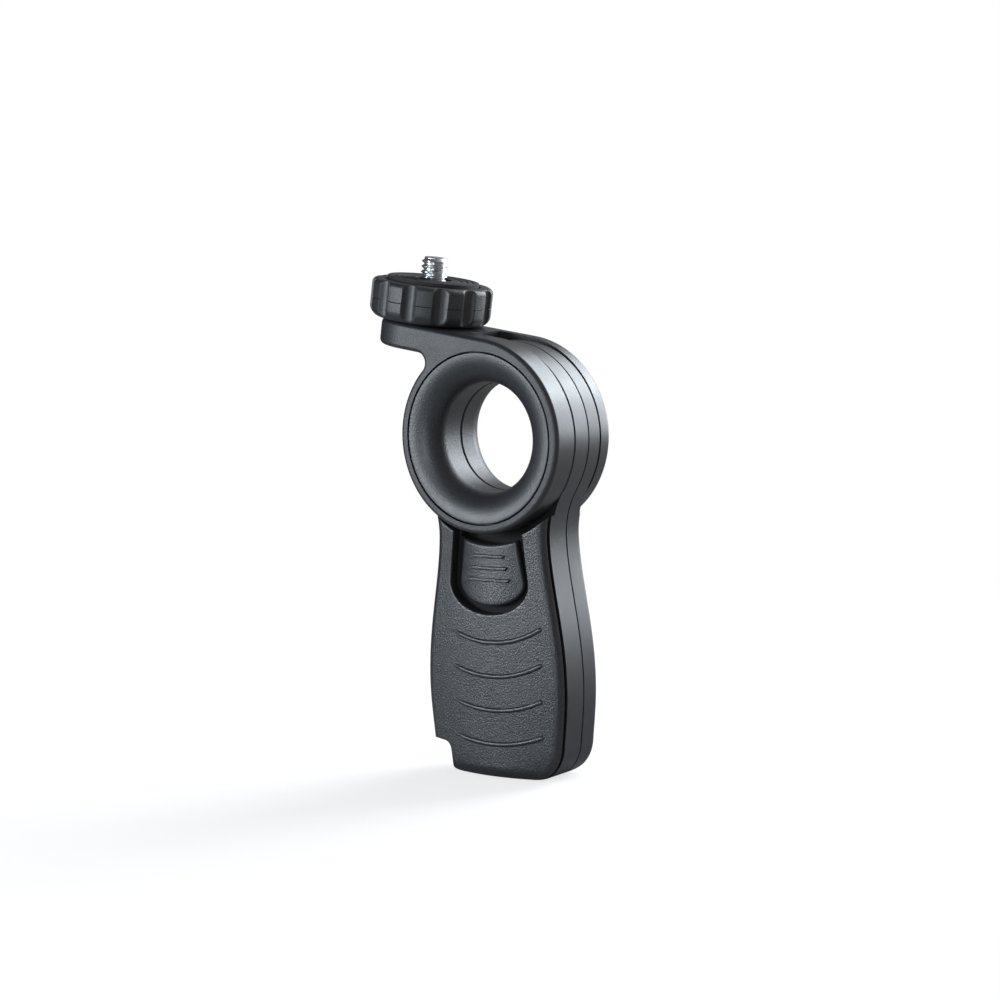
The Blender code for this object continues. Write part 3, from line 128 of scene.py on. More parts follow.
# Grip ribs, from the top one down. Each fades out to the left and ends short to the right.
RIB_COUNT = 4
RIB_HALF_SPAN = 14.1 * MM
RIB_OFFSET = 0.3 * MM
RIB_TOP_HEIGHT = 32.1 * MM
RIB_PITCH = 7.93 * MM
RIB_SAG_TOP = 4.1 * MM
RIB_SAG_BOTTOM = 2.75 * MM
RIB_FADE_SHARE = 0.22
RIB_TIP_SHARE = 0.03
RIB_TIP_LEAST = 0.45
RIB_FADE_POWER = 0.7

# Thumb button and its window. Its bars lean over and stand proudest at their right ends;
# a bar's profile gives how far it is drawn in and the share of its height reached there.
BUTTON_TOP_RADIUS = 24.6 * MM
BUTTON_TOP_HALF_WIDTH = 7.5 * MM
BUTTON_LOW_HALF_WIDTH = 9.1 * MM
BUTTON_SIDE_HEIGHT = 9.0 * MM
BUTTON_CHIN_HEIGHT = 5.4 * MM
BUTTON_BACK = -7.7 * MM
BUTTON_FACE = -10.0 * MM
BUTTON_CROWN_RADIUS = 30.0 * MM
BAR_COUNT = 3
BAR_HEIGHT = 0.9 * MM
BAR_PITCH = 2.75 * MM
BAR_HALF_LENGTH = 4.6 * MM
BAR_GROWTH = 0.65 * MM
BAR_LEAN = 0.55 * BAR_HEIGHT
BAR_ROOT = 0.6 * MM
BAR_MIDDLE_SHARE = 0.75
BAR_PROFILE = ((0, 0.45), (0.06 * MM, 0.75), (0.16 * MM, 0.93), (0.28 * MM, 1))
WINDOW_MARGIN = 1.8 * MM
LATCH_SCREW_HEIGHT = 46.5 * MM

# Rooms inside the grip for the latch.
SLIDE_HALF_WIDTH = 6.8 * MM
SLIDE_FRONT = -4.2 * MM
SLIDE_REAR = 3.4 * MM
SLIDE_FOOT = 42.0 * MM
STEM_HALF_WIDTH = 4.3 * MM
STEM_FOOT = 42.0 * MM
STEM_TOP = 50.9 * MM
SHELF_TOP = 32.1 * MM
SHELF_THICKNESS = 2.0 * MM
SHELF_HALF_WIDTH = 7.0 * MM
RAIL_THICKNESS = 1.4 * MM
SPIGOT_RADIUS = 1.3 * MM
SPIGOT_HEIGHT = 2.2 * MM
SPRING_DEPTH = 1.9 * MM
PILOT_RADIUS = 1.4 * MM
PILOT_SKIN = 0.5 * MM

# Screws that close the grip, with their places on it as x and z.
SCREW_PLACES = ((-11.3 * MM, 15 * MM), (11.3 * MM, 15 * MM), (-12.2 * MM, 35 * MM),
                (12.2 * MM, 35 * MM))
SCREW_RADIUS = 1.3 * MM
SCREW_HEAD_RADIUS = 2.6 * MM
SCREW_HEAD_HEIGHT = 1.9 * MM
SCREW_LENGTH = 9.5 * MM
SCREW_SEAT = 4.4 * MM
SCREW_BOSS_RADIUS = 3.6 * MM
SCREW_HEAD_EDGE = 0.1 * MM
SCREW_DOME_WIDTH = 0.9 * MM
SCREW_DOME_HEIGHT = 0.55 * SCREW_HEAD_HEIGHT
SCREW_SHANK = 1.2 * MM
SCREW_TIP_RADIUS = 0.3 * MM
SCREW_PITCH = 1.0 * MM
SCREW_THREAD_DEPTH = 0.35 * MM
SCREW_RING_STEP = 0.1 * MM
SCREW_RINGS = 79
SCREW_TAPER_RINGS = 14
SCREW_TAPER_LEAST = 0.35
DRIVE_HALF = 1.3 * MM
DRIVE_THIN = 0.3 * MM
DRIVE_DEPTH = 1.0 * MM

# Tripod bush.
BUSH_RADIUS = 4.8 * MM
BUSH_HEIGHT = 12.0 * MM
BUSH_COLLAR_RADIUS = 6.2 * MM
BUSH_COLLAR_FOOT = 6.0 * MM
BUSH_COLLAR_TOP = 7.6 * MM
BUSH_BLOCK_HALF_WIDTH = 8.6 * MM

# Fork arm, in its own frame.
ARM_TILT = math.radians(9.4)
FRONT_FACE = -13.05 * MM
FRONT_INNER = -6.05 * MM
REAR_INNER = 5.2 * MM
REAR_FACE = 9.2 * MM
ARM_MID = (FRONT_FACE + REAR_FACE) / 2
PLATFORM_END_RADIUS = (REAR_FACE - FRONT_FACE) / 2
PLATFORM_TOP = 22.8 * MM
PLATFORM_UNDERSIDE = 16.7 * MM
PLATFORM_NOTCH_RADIUS = 2.4 * MM
CREST_ANGLE = math.radians(28)
FORK_DRUM_GAP = 0.6 * MM
BRIDGE_OFFSET = 9.5 * MM
STUD_REACH = 25.1 * MM

# Camera stud and the cap under it.
STUD_RADIUS = 3.175 * MM
STUD_TIP = 38.0 * MM
STUD_CHAMFER = 0.7 * MM
STUD_HEAD_RADIUS = 5.5 * MM
STUD_HEAD_HEIGHT = 2.5 * MM
CAP_RADIUS = 7.5 * MM
CAP_THICKNESS = 1.2 * MM
THREAD_PITCH = 1.27 * MM
THREAD_DEPTH = 0.62 * MM
THREAD_SLOPE = 1.35
THREAD_CREST = 0.15

# Lock wheel and pad.
WHEEL_RADIUS = 14.3 * MM
WHEEL_FOOT = 23.1 * MM
WHEEL_TOP = 32.1 * MM
WHEEL_TOP_ROUND = 1.2 * MM
WHEEL_BOTTOM_ROUND = 2.6 * MM
WHEEL_BORE_RADIUS = 3.7 * MM
WHEEL_SEAT_CHAMFER = 0.2 * MM
FLUTE_COUNT = 12
FLUTE_RADIUS = 1.9 * MM
FLUTE_DEPTH = 1.2 * MM
FLUTE_RUNOUT = 3
WHEEL_BUSH_RADIUS = 5.5 * MM
WHEEL_BUSH_HEIGHT = 5.7 * MM
PAD_RADIUS = 10.8 * MM
PAD_BORE_RADIUS = 4.2 * MM
PAD_FOOT = 31.8 * MM
PAD_TOP = 33.0 * MM
PAD_SEAT_DEPTH = 0.6 * MM
PAD_EDGE = 0.2 * MM
PAD_RING_COUNT = 3
PAD_RING_INSET = 1.5 * MM
PAD_RING_PITCH = 1.4 * MM
PAD_RING_DEPTH = 0.15 * MM

# Facets: of large rounds, turned pieces and small rounds, of lips, seams, corners and fillets.
FINE_STEPS = 192
TURNED_STEPS = 72
SMALL_STEPS = 48
LIP_STEPS = 6
SEAM_STEPS = 3
CORNER_STEPS = 10
FILLET_STEPS = 12
BEND_STEPS = 32
HUB_STEPS = 130
THROAT_STEPS = 40
RIB_STEPS = 72
RIB_FACETS = 16
RIM_STEPS = 8
BUTTON_RINGS = 16
BAR_STEPS = 12
THREAD_RINGS = {"bush": 110, "stud": 170}
LOBE_STEPS = 40
CAP_STEPS = 96
PAD_EDGE_STEPS = 4
HEX_SIDES = 6

# Rings of the grip's lofts: round the base edge, along the body and up the neck.
EDGE_RINGS = 20
BODY_RINGS = 60
NECK_RINGS = 16
HOLLOW_RINGS = 14

# Smooth shading ends at this angle between faces, and edges above the other are rounded.
SHARP_ANGLE = math.radians(32)
BEVEL_ANGLE = math.radians(50)
BEVEL_STEPS = 5

# Finishes: roughness and usual range of a noise, bend of light in plastic, size of its cloudy
# patches and how far they vary its roughness, share of the arm's grain and roughness on its
# edges, the slopes between which its flats turn into edges, and the painted shade on the flats
# behind the cover: how much it darkens them, their roughness, and the limits of that patch.
NOISE_ROUGHNESS = 0.6
NOISE_RANGE = (0.3, 0.7)
PLASTIC_IOR = 1.55
CLOUD_SIZE = 7 * MM
CLOUD_SHARE = {"plain": (0.94, 1.06), "faces": (0.95, 1.05)}
EDGE_GRAIN = 0.12
EDGE_ROUGHNESS = 0.68
FLAT_SLOPES = (0.55, 0.95)
# Painted shade: the flats behind the cover keep this share of the base colour, so the gaps read
# dark.
PAINTED_RECESS_SHADE = 0.2
RECESS_ROUGHNESS = 0.95
RECESS_FADE = 0.1 * MM
RECESS_SLOPES = (-0.9, -0.6)

# Camera: lens and sensor in millimetres, place in metres, turn in degrees.
CAMERA_LENS = 82.012
CAMERA_SENSOR = 36
CAMERA_PLACE = (0.30436366, -0.43293455, 0.11502026)
CAMERA_ANGLES = (84.51804, 1.43713, 35.25288)

# Lamps: width and height, and place. All of them face the same point of the mount.
LAMP_COLOUR = (0.86, 0.93, 1.0)
LAMP_AIM = Vector((0, 0, 0.06))
LAMPS = {"key": ((0.17, 0.2), (-0.369, -0.59, 0.15)),
         "edge": ((0.12, 0.3), (0.144, -0.681, 0.143)),
         "rear": ((0.42, 0.42), (0.254, 0.63, 0.25)),
         "top": ((0.4, 0.4), (0.143, 0.533, 0.501))}

# Floor: depth below the base, facets, roughness, glow that only the camera sees, and the
# shares of its reach between which it fades out.
FLOOR_DROP = 0.02 * MM
FLOOR_STEPS = 96
FLOOR_ROUGHNESS = 0.9
FLOOR_GLOW = 0.72
FLOOR_FADE = (0.3, 0.95)

# Surround: the way in which it brightens, share of light at its dark end, and span of the fade.
SURROUND_WAY = Vector((0.65, 0.7, 0.25)).normalized()
SURROUND_LEAST = 0.08
SURROUND_SPAN = (-0.1, 1)

ALONG_Y = Matrix.Rotation(-QUARTER, 4, "X")
SCREW_FRAMES = [Matrix.Translation((x, 0, z)) @ ALONG_Y for x, z in SCREW_PLACES]
HUB_PLACE = Matrix.Translation((0, 0, AXIS_HEIGHT))
HUB_FRAME = HUB_PLACE @ ALONG_Y
ARM_FRAME = HUB_PLACE @ Matrix.Rotation(ARM_TILT, 4, "Y")
ARM_HUB_FRAME = ARM_FRAME @ ALONG_Y
WHEEL_FRAME = ARM_FRAME @ Matrix.Translation((-STUD_REACH, ARM_MID, 0))


# Settings

def length(name, description, default, most=5 * MM):
    return bpy.props.FloatProperty(name=name, description=description, default=default,
                                   min=0.0, max=most, precision=5, unit="LENGTH",
                                   subtype="DISTANCE")


def share(name, description, default, most=1.0):
    return bpy.props.FloatProperty(name=name, description=description, default=default,
                                   min=0.0, max=most, subtype="FACTOR")


def colour(name, description, default):
    return bpy.props.FloatVectorProperty(name=name, description=description, default=default,
                                         size=3, min=0.0, max=1.0, subtype="COLOR")


def power(name, description, default):
    return bpy.props.FloatProperty(name=name, description=description, default=default,
                                   min=0.0, unit="POWER")


class MOUNT_PG_grip(bpy.types.PropertyGroup):
    """Lips, seams and ribs of the grip."""

    lip_radius: length("Lip radius", "Rounding of the window, shoulder and notch", 0.4 * MM)
    seam_round: length("Seam rounding", "Rounding of the shells where they part", 0.14 * MM)
    rib_radius: length("Rib radius", "Radius of the grip ribs", 0.65 * MM)
    rib_proud: length("Rib height", "How far the grip ribs stand proud", 0.4 * MM)
    button_edge: length("Button edge", "Rounding of the thumb button's rim", 0.7 * MM)
    bar_proud: length("Bar height", "How far the button's bars stand proud", 0.5 * MM)


class MOUNT_PG_arm(bpy.types.PropertyGroup):
    """Edges and seams of the arm, its wheel and its stud."""

    edge_radius: length("Fork edge", "Rounding of the fork's edges", 1.1 * MM)
    rim_round: length("Bezel rim", "Rounding of the bezels' outer rims", 0.25 * MM)
    lobe_round: length("Lobe rounding", "Softness of the edges between flute and lobe",
                       0.16 * MM)
    seam_width: length("Wheel seam width", "Width of the wheel's moulding seam", 0.24 * MM)
    seam_depth: length("Wheel seam depth", "Depth of the wheel's moulding seam", 0.16 * MM)


class MOUNT_PG_finish(bpy.types.PropertyGroup):
    """Colours and grain of the finishes."""

    grained: colour("Grained plastic", "Grip cover and button", (0.019, 0.02, 0.022))
    satin: colour("Satin plastic", "Grip shells", (0.02, 0.021, 0.024))
    arm: colour("Arm plastic", "Fork arm, wheel and cap", (0.019, 0.02, 0.022))
    bezel: colour("Bezel plastic", "Hub bezels", (0.02, 0.021, 0.0235))
    rubber: colour("Rubber", "Camera pad", (0.014, 0.014, 0.015))
    steel: colour("Zinc steel", "Screws, stud, drum and spring", (0.58, 0.59, 0.6))
    brass: colour("Brass", "Tripod bush and wheel bush", (0.71, 0.55, 0.26))
    acetal: colour("Acetal", "Glide rings", (0.75, 0.75, 0.71))
    carrier: colour("Latch slide", "Dark acetal of the slide", (0.06, 0.06, 0.065))
    lining: colour("Lining", "Friction lining of the latch", (0.1, 0.085, 0.075))
    grain_size: length("Grain size", "Size of the moulded grain", 0.4 * MM)
    grain_depth: length("Grain depth", "Depth of the moulded grain", 0.1 * MM)
    speckle: share("Speckle", "How much the grain varies the colour", 0.5)


class MOUNT_PG_stage(bpy.types.PropertyGroup):
    """Floor, lamps and background."""

    floor: colour("Floor", "Colour of the floor", (0.34, 0.34, 0.34))
    floor_reach: length("Floor reach", "Where the floor has faded into the backdrop",
                        0.34, 2.0)
    key: power("Key lamp", "Soft lamp at the front left", 4.0)
    edge: power("Edge lamp", "Narrow soft lamp at the front right", 1.6)
    rear: power("Rear lamp", "Soft lamp behind and a little to the right", 4.5)
    top: power("Top lamp", "Soft lamp behind and above", 3.4)
    surround: share("Surround", "Brightness of the studio around the mount", 0.6, 2.0)


# Mesh tools

def link_mesh(name, points, faces, matrix=None):
    bm = bmesh.new()
    corners = [bm.verts.new(point) for point in points]
    for face in faces:
        bm.faces.new([corners[k] for k in face])
    bmesh.ops.recalc_face_normals(bm, faces=bm.faces)
    mesh = bpy.data.meshes.new(name)
    bm.to_mesh(mesh)
    bm.free()
    if matrix is not None:
        mesh.transform(matrix)
    item = bpy.data.objects.new(name, mesh)
    bpy.context.scene.collection.objects.link(item)
    return item


def loft(name, rings, matrix=None, looped=False):
    """A solid through rings with equal counts, capped, or closed into a loop."""
    count = len(rings[0])
    total = len(rings)
    faces = []
    for level in range(total if looped else total - 1):
        low = level * count
        high = (level + 1) % total * count
        faces += [(low + k, low + (k + 1) % count, high + (k + 1) % count, high + k)
                  for k in range(count)]
    if not looped:
        faces += [tuple(range(count)), tuple(range((total - 1) * count, total * count))]
    return link_mesh(name, [point for ring in rings for point in ring], faces, matrix)


def spun(name, rows, steps, matrix=None, looped=False):
    """A solid of rings about Z; a row's radius is a number or depends on the angle."""
    rings = []
    for radius, along in rows:
        ring = []
        for k in range(steps):
            angle = TURN * k / steps
            reach = radius(angle) if callable(radius) else radius
            ring.append((reach * math.cos(angle), reach * math.sin(angle), along))
        rings.append(ring)
    return loft(name, rings, matrix, looped)


def rod(name, radius, start, end, matrix=None, steps=SMALL_STEPS):
    return spun(name, [(radius, start), (radius, end)], steps, matrix)


def thread(radius, depth, pitch, along):
    """Radius at an angle of a thread's turns at a place along its axis."""
    def reach(angle):
        phase = (along / pitch - angle / TURN) % 1
        return radius - depth * min(1, max(0, abs(2 * phase - 1) * THREAD_SLOPE
                                           - THREAD_CREST))
    return reach


def prism(name, outline, start, end, matrix=None):
    """An outline of (x, z) points extruded along Y."""
    return loft(name, [[(x, depth, z) for x, z in outline] for depth in (start, end)], matrix)


def block(name, low, high, matrix=None):
    outline = [(low[0], low[2]), (high[0], low[2]), (high[0], high[2]), (low[0], high[2])]
    return prism(name, outline, low[1], high[1], matrix)


def keep_shape(piece):
    """Makes the piece's modifiers part of its mesh."""
    bpy.context.view_layer.update()
    shape = piece.evaluated_get(bpy.context.evaluated_depsgraph_get())
    mesh = bpy.data.meshes.new_from_object(shape)
    piece.modifiers.clear()
    before = piece.data
    piece.data = mesh
    bpy.data.meshes.remove(before)


def combine(piece, operation, *others):
    for other in others:
        step = piece.modifiers.new(operation.lower(), "BOOLEAN")
        step.operation = operation
        step.solver = "EXACT"
        step.object = other
        keep_shape(piece)
        bpy.data.objects.remove(other, do_unlink=True)
    return piece


def cut(piece, *others):
    return combine(piece, "DIFFERENCE", *others)


def join(piece, *others):
    return combine(piece, "UNION", *others)


def round_edges(piece, width):
    step = piece.modifiers.new("rounded", "BEVEL")
    step.width = width
    step.segments = BEVEL_STEPS
    step.limit_method = "ANGLE"
    step.angle_limit = BEVEL_ANGLE
    keep_shape(piece)


def rounded(steps):
    """Along a rounded edge: the share by which it is drawn in, and the share left to go."""
    return [(1 - math.cos(QUARTER * k / steps), 1 - math.sin(QUARTER * k / steps))
            for k in range(steps + 1)]


def arc(centre, radius, start, end, steps):
    """Points on an arc, both ends included, angles from the first axis to the second."""
    return [(centre[0] + radius * math.cos(start + (end - start) * k / steps),
             centre[1] + radius * math.sin(start + (end - start) * k / steps))
            for k in range(steps + 1)]


def dress(piece, material, body, slot, *nodes):
    """Welds a piece, smooths it, gives it its finish and its body, and hides the nodes it
    remakes.
    """
    bm = bmesh.new()
    bm.from_mesh(piece.data)
    bmesh.ops.remove_doubles(bm, verts=bm.verts, dist=WELD)
    bmesh.ops.dissolve_degenerate(bm, edges=bm.edges, dist=WELD)
    bm.to_mesh(piece.data)
    bm.free()
    piece.data.materials.clear()
    piece.data.materials.append(material)
    piece.data.shade_smooth()
    piece.data.set_sharp_from_angle(angle=SHARP_ANGLE)
    even = piece.modifiers.new("even_shading", "WEIGHTED_NORMAL")
    even.keep_sharp = True
    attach(piece, body)
    if nodes:
        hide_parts(*nodes)


# Finishes

def new_material(name, base, roughness, metallic=0.0):
    """A new finish with its node tree and shader, or the finish of that name without them."""
    name = "mount_" + name
    material = bpy.data.materials.get(name)
    if material is not None:
        return material, None, None
    material = bpy.data.materials.new(name)
    material.use_nodes = True
    tree = material.node_tree
    shader = tree.nodes["Principled BSDF"]
    shader.inputs["Base Color"].default_value = (*base, 1)
    shader.inputs["Roughness"].default_value = roughness
    shader.inputs["Metallic"].default_value = metallic
    return material, tree, shader


def add_node(tree, kind, inputs=None, **settings):
    """A new shader node, whose inputs take values or the outputs of other nodes."""
    item = tree.nodes.new("ShaderNode" + kind)
    for name, value in settings.items():
        setattr(item, name, value)
    for key, value in (inputs or {}).items():
        if isinstance(value, bpy.types.NodeSocket):
            tree.links.new(value, item.inputs[key])
        else:
            item.inputs[key].default_value = value
    return item


def noise(tree, size, detail, stretch=(1, 1, 1)):
    """A noise in the piece's own frame, with lumps of the given size in metres."""
    place = add_node(tree, "TexCoord").outputs["Object"]
    mapping = add_node(tree, "Mapping", {"Scale": [part / size for part in stretch],
                                         "Vector": place})
    texture = add_node(tree, "TexNoise", {"Scale": 1.0, "Detail": detail,
                                          "Roughness": NOISE_ROUGHNESS,
                                          "Vector": mapping.outputs["Vector"]})
    return texture.outputs["Fac"]


def spread(tree, value, low, high, source=NOISE_RANGE):
    """Maps a value, by default a noise, to a range."""
    node = add_node(tree, "MapRange", {"From Min": source[0], "From Max": source[1],
                                       "To Min": low, "To Max": high, "Value": value})
    return node.outputs["Result"]


def times(tree, first, second):
    return add_node(tree, "Math", {0: first, 1: second}, operation="MULTIPLY").outputs["Value"]


def blend(tree, part, first, second):
    """Goes from the first colour to the second; each is a colour or a node's output."""
    node = add_node(tree, "Mix", {0: part, 6: first, 7: second}, data_type="RGBA")
    return node.outputs[2]


def shade(base, share_kept):
    """The base colour, darker or lighter, as a shader takes it."""
    return (*[min(1, part * share_kept) for part in base], 1)


def tint(tree, shader, base, amount, value):
    """Lets a noise lighten and darken the base colour."""
    mixed = blend(tree, spread(tree, value, 0, 1), shade(base, 1 - amount),
                  shade(base, 1 + amount))
    tree.links.new(mixed, shader.inputs["Base Color"])


def emboss(tree, shader, value, depth, strength=1.0):
    bump = add_node(tree, "Bump", {"Strength": strength, "Distance": depth, "Height": value})
    tree.links.new(bump.outputs["Normal"], shader.inputs["Normal"])


def across(tree, kind):
    """How far back a place of the piece lies (Object), or how far it faces back (Normal)."""
    place = add_node(tree, "TexCoord").outputs[kind]
    return add_node(tree, "SeparateXYZ", {0: place}).outputs["Y"]


def flat_face_mask(tree):
    """1 on the arm's front and rear faces, 0 on its sides."""
    size = add_node(tree, "Math", {0: across(tree, "Normal")}, operation="ABSOLUTE")
    return spread(tree, size.outputs[0], 0, 1, FLAT_SLOPES)


def painted_recess_shade(tree, shader, base, rough, front):
    """Paints shade on flats that lie deeper than the front: darkened and dulled, the gaps read
    dark.
    """
    mask = times(tree,
                 spread(tree, across(tree, "Object"), 0, 1, (front, front + RECESS_FADE)),
                 spread(tree, across(tree, "Normal"), 1, 0, RECESS_SLOPES))
    # Painted shade: on the masked flats the base colour blends into a darker copy of itself.
    skin = blend(tree, mask, shader.inputs["Base Color"].links[0].from_socket,
                 shade(base, PAINTED_RECESS_SHADE))
    tree.links.new(skin, shader.inputs["Base Color"])
    return add_node(tree, "Mix", {0: mask, 2: rough, 3: RECESS_ROUGHNESS}).outputs[0]


def moulded_plastic(name, base, roughness, finish, depth=1.0, faces_only=False, recess=None):
    """Black moulded plastic with a fine grain, or a satin skin where the depth is small.

    With faces_only the edges are smoother than the front and rear faces. With a recess, shade
    is painted on the flats that lie deeper than that: they are darkened and dulled.
    """
    material, tree, shader = new_material(name, base, roughness)
    if tree is None:
        return material
    shader.inputs["IOR"].default_value = PLASTIC_IOR
    grain = noise(tree, finish.grain_size, 3.0)
    cloud = noise(tree, CLOUD_SIZE, 3.0)
    tint(tree, shader, base, finish.speckle * depth, grain)
    if faces_only:
        mask = flat_face_mask(tree)
        emboss(tree, shader, times(tree, grain, spread(tree, mask, EDGE_GRAIN, 1, (0, 1))),
               finish.grain_depth * depth)
        rough = times(tree, spread(tree, cloud, *CLOUD_SHARE["faces"]),
                      spread(tree, mask, roughness * EDGE_ROUGHNESS, roughness, (0, 1)))
    else:
        emboss(tree, shader, grain, finish.grain_depth * depth)
        rough = spread(tree, cloud, *[roughness * part for part in CLOUD_SHARE["plain"]])
    # Painted shade: the flats deeper than the recess depth are darkened and dulled.
    if recess is not None:
        rough = painted_recess_shade(tree, shader, base, rough, recess)
    tree.links.new(rough, shader.inputs["Roughness"])
    return material


def marked(name, base, roughness, marks, relief, gloss, amount, cloud=None, metallic=0.0):
    """A finish with fine marks that stand in relief and vary its roughness and its tint.

    The marks and the cloud are given by size, detail and stretch, the relief by depth and
    strength, and the gloss by its least and greatest roughness. A cloud takes over the tint.
    """
    material, tree, shader = new_material(name, base, roughness, metallic)
    if tree is not None:
        fine = noise(tree, *marks)
        tint(tree, shader, base, amount, noise(tree, *cloud) if cloud else fine)
        emboss(tree, shader, fine, *relief)
        tree.links.new(spread(tree, fine, *gloss), shader.inputs["Roughness"])
    return material


def zinc_steel(finish):
    return marked("zinc_steel", finish.steel, 0.3, marks=(0.4 * MM, 4.0, (1, 1, 5)),
                  relief=(0.01 * MM, 0.6), gloss=(0.24, 0.42), amount=0.12,
                  cloud=(2 * MM, 4.0), metallic=1.0)


def turned_brass(finish):
    return marked("turned_brass", finish.brass, 0.28, marks=(0.5 * MM, 3.0, (0.15, 0.15, 4)),
                  relief=(0.012 * MM, 0.7), gloss=(0.2, 0.36), amount=0.15,
                  cloud=(1.5 * MM, 3.0), metallic=1.0)


def matte_rubber(finish):
    return marked("matte_rubber", finish.rubber, 0.8, marks=(0.2 * MM, 4.0),
                  relief=(0.03 * MM, 0.7), gloss=(0.72, 0.9), amount=0.3)


def acetal(name, base):
    return marked(name, base, 0.4, marks=(1.2 * MM, 4.0), relief=(0.01 * MM, 0.5),
                  gloss=(0.34, 0.46), amount=0.06)


def friction_lining(finish):
    return marked("friction_lining", finish.lining, 0.85,
                  marks=(0.35 * MM, 5.0, (1, 2.5, 1)), relief=(0.06 * MM, 1.0),
                  gloss=(0.75, 0.95), amount=0.45)


def grained_plastic(finish):
    return moulded_plastic("grained_plastic", finish.grained, 0.34, finish)


# Satin plastic of the shells, with shade painted dark on the flats behind the cover.
def satin_plastic(finish):
    return moulded_plastic("satin_plastic", finish.satin, 0.36, finish, depth=0.25,
                           recess=COVER_SEAT - CLEARANCE)


def arm_plastic(finish):
    return moulded_plastic("arm_plastic", finish.arm, 0.5, finish, depth=0.8,
                           faces_only=True)


def bezel_plastic(finish):
    return moulded_plastic("bezel_plastic", finish.bezel, 0.42, finish, depth=0.6)


def wheel_plastic(finish):
    return moulded_plastic("wheel_plastic", finish.arm, 0.46, finish, depth=0.8)


# Grip form

def neck_centre():
    """Centre of the right neck fillet, relative to the hub."""
    x = WAIST_HALF_WIDTH + NECK_FILLET_RADIUS
    return x, -math.sqrt((DRUM_RADIUS + NECK_FILLET_RADIUS) ** 2 - x ** 2)


WAIST_HEIGHT = AXIS_HEIGHT + neck_centre()[1]
NECK_TOP = AXIS_HEIGHT + neck_centre()[1] * DRUM_RADIUS / (DRUM_RADIUS + NECK_FILLET_RADIUS)


def eased(start, end, part):
    return start + (end - start) * (1 - math.cos(2 * QUARTER * part)) / 2


def half_width(height):
    """Half the grip's width at a height above the base."""
    height = min(max(height, 0), NECK_TOP)
    if height >= WAIST_HEIGHT:
        centre_x, centre_z = neck_centre()
        rise = height - AXIS_HEIGHT - centre_z
        return centre_x - math.sqrt(NECK_FILLET_RADIUS ** 2 - rise ** 2)
    if height >= BULGE_HEIGHT:
        part = (WAIST_HEIGHT - height) / (WAIST_HEIGHT - BULGE_HEIGHT)
        return eased(WAIST_HALF_WIDTH, BULGE_HALF_WIDTH, part ** SWELL_SHARE)
    width = eased(BULGE_HALF_WIDTH, BASE_HALF_WIDTH, (BULGE_HEIGHT - height) / BULGE_HEIGHT)
    if height < BASE_CORNER_RADIUS:
        drop = BASE_CORNER_RADIUS - height
        width -= BASE_CORNER_RADIUS - math.sqrt(BASE_CORNER_RADIUS ** 2 - drop ** 2)
    return width


def face_flat(side, height):
    """Depth of the front or rear face beside its crown; it draws in round the base edge."""
    depth, crown = FACES[side][:2]
    height = max(height, 0)
    inset = 0
    if height < BASE_EDGE_RADIUS:
        inset = BASE_EDGE_RADIUS - math.sqrt(BASE_EDGE_RADIUS ** 2
                                             - (BASE_EDGE_RADIUS - height) ** 2)
    return depth - crown - inset


def skin(side, x, height):
    """Depth of the grip's front or rear face at a place on it, round its corners too."""
    crown, corner = FACES[side][1:]
    flat = face_flat(side, height)
    edge = half_width(height) - corner
    if abs(x) <= edge:
        return side * (flat + crown * (1 - (x / edge) ** 2))
    over = min(abs(x) - edge, corner)
    return side * (flat - corner + math.sqrt(corner ** 2 - over ** 2))


def levels(start, end):
    """Heights of a loft's rings, close together round the base edge."""
    heights = [BASE_CORNER_RADIUS * inset for inset, _ in rounded(EDGE_RINGS)[:-1]]
    heights += [BASE_CORNER_RADIUS + (WAIST_HEIGHT - BASE_CORNER_RADIUS) * k / BODY_RINGS
                for k in range(BODY_RINGS)]
    heights += [WAIST_HEIGHT + (NECK_TOP - WAIST_HEIGHT) * k / NECK_RINGS
                for k in range(NECK_RINGS)]
    return [start] + [height for height in heights if start < height < end] + [end]


def crown_points(side, height, steps=20):
    crown, corner = FACES[side][1:]
    edge = half_width(height) - corner
    flat = face_flat(side, height)
    marks = [1 - 2 * k / steps for k in range(1, steps)]
    return [(edge * mark, flat + crown * (1 - mark * mark)) for mark in marks]


def closed_section(side, height, right):
    """Mirrors the right side's points and joins both over the crown."""
    points = right + crown_points(side, height) + [(-x, out) for x, out in reversed(right)]
    return [(x, side * out, height) for x, out in points]


def shell_section(side, height, seam_round):
    corner = FACES[side][2]
    half = half_width(height)
    seam = CLEARANCE / 2
    right = arc((half - seam_round, seam + seam_round), seam_round, -QUARTER, 0, SEAM_STEPS)
    right += arc((half - corner, face_flat(side, height) - corner), corner, 0, QUARTER,
                 CORNER_STEPS)
    return closed_section(side, height, right)


def cover_section(height):
    corner = FACES[-1][2]
    centre = (half_width(height) - corner, face_flat(-1, height) - corner)
    start = math.asin(min((-COVER_BACK - centre[1]) / corner, COVER_LIFT_MOST))
    edge = centre[0] + corner * math.cos(start)
    right = [(edge - COVER_FOOT / 2, -COVER_BACK)]
    right += arc(centre, corner, min(start + COVER_FOOT_ANGLE, QUARTER), QUARTER, CORNER_STEPS)
    return closed_section(-1, height, right)


def flared(name, outline, radius, side, deep):
    """A cutter with a rounded lip where it comes out of the front or rear face."""
    rings = [[(x, deep, z) for x, z in outline(0)]]
    for k, (inset, left) in enumerate(rounded(LIP_STEPS)):
        depth = radius * left - LIP_LAP
        least = side * deep + LIP_LAP * (k + 1)
        rings.append([(x, side * max(least, side * skin(side, x, z) - depth), z)
                      for x, z in outline(radius * inset)])
    rings.append([(x, side * FAR, z) for x, z in outline(radius)])
    return loft(name, rings)


def shoulder_outline(grow):
    return arc((0, AXIS_HEIGHT), SHOULDER_RADIUS + grow, 0, TURN, FINE_STEPS)[:-1]


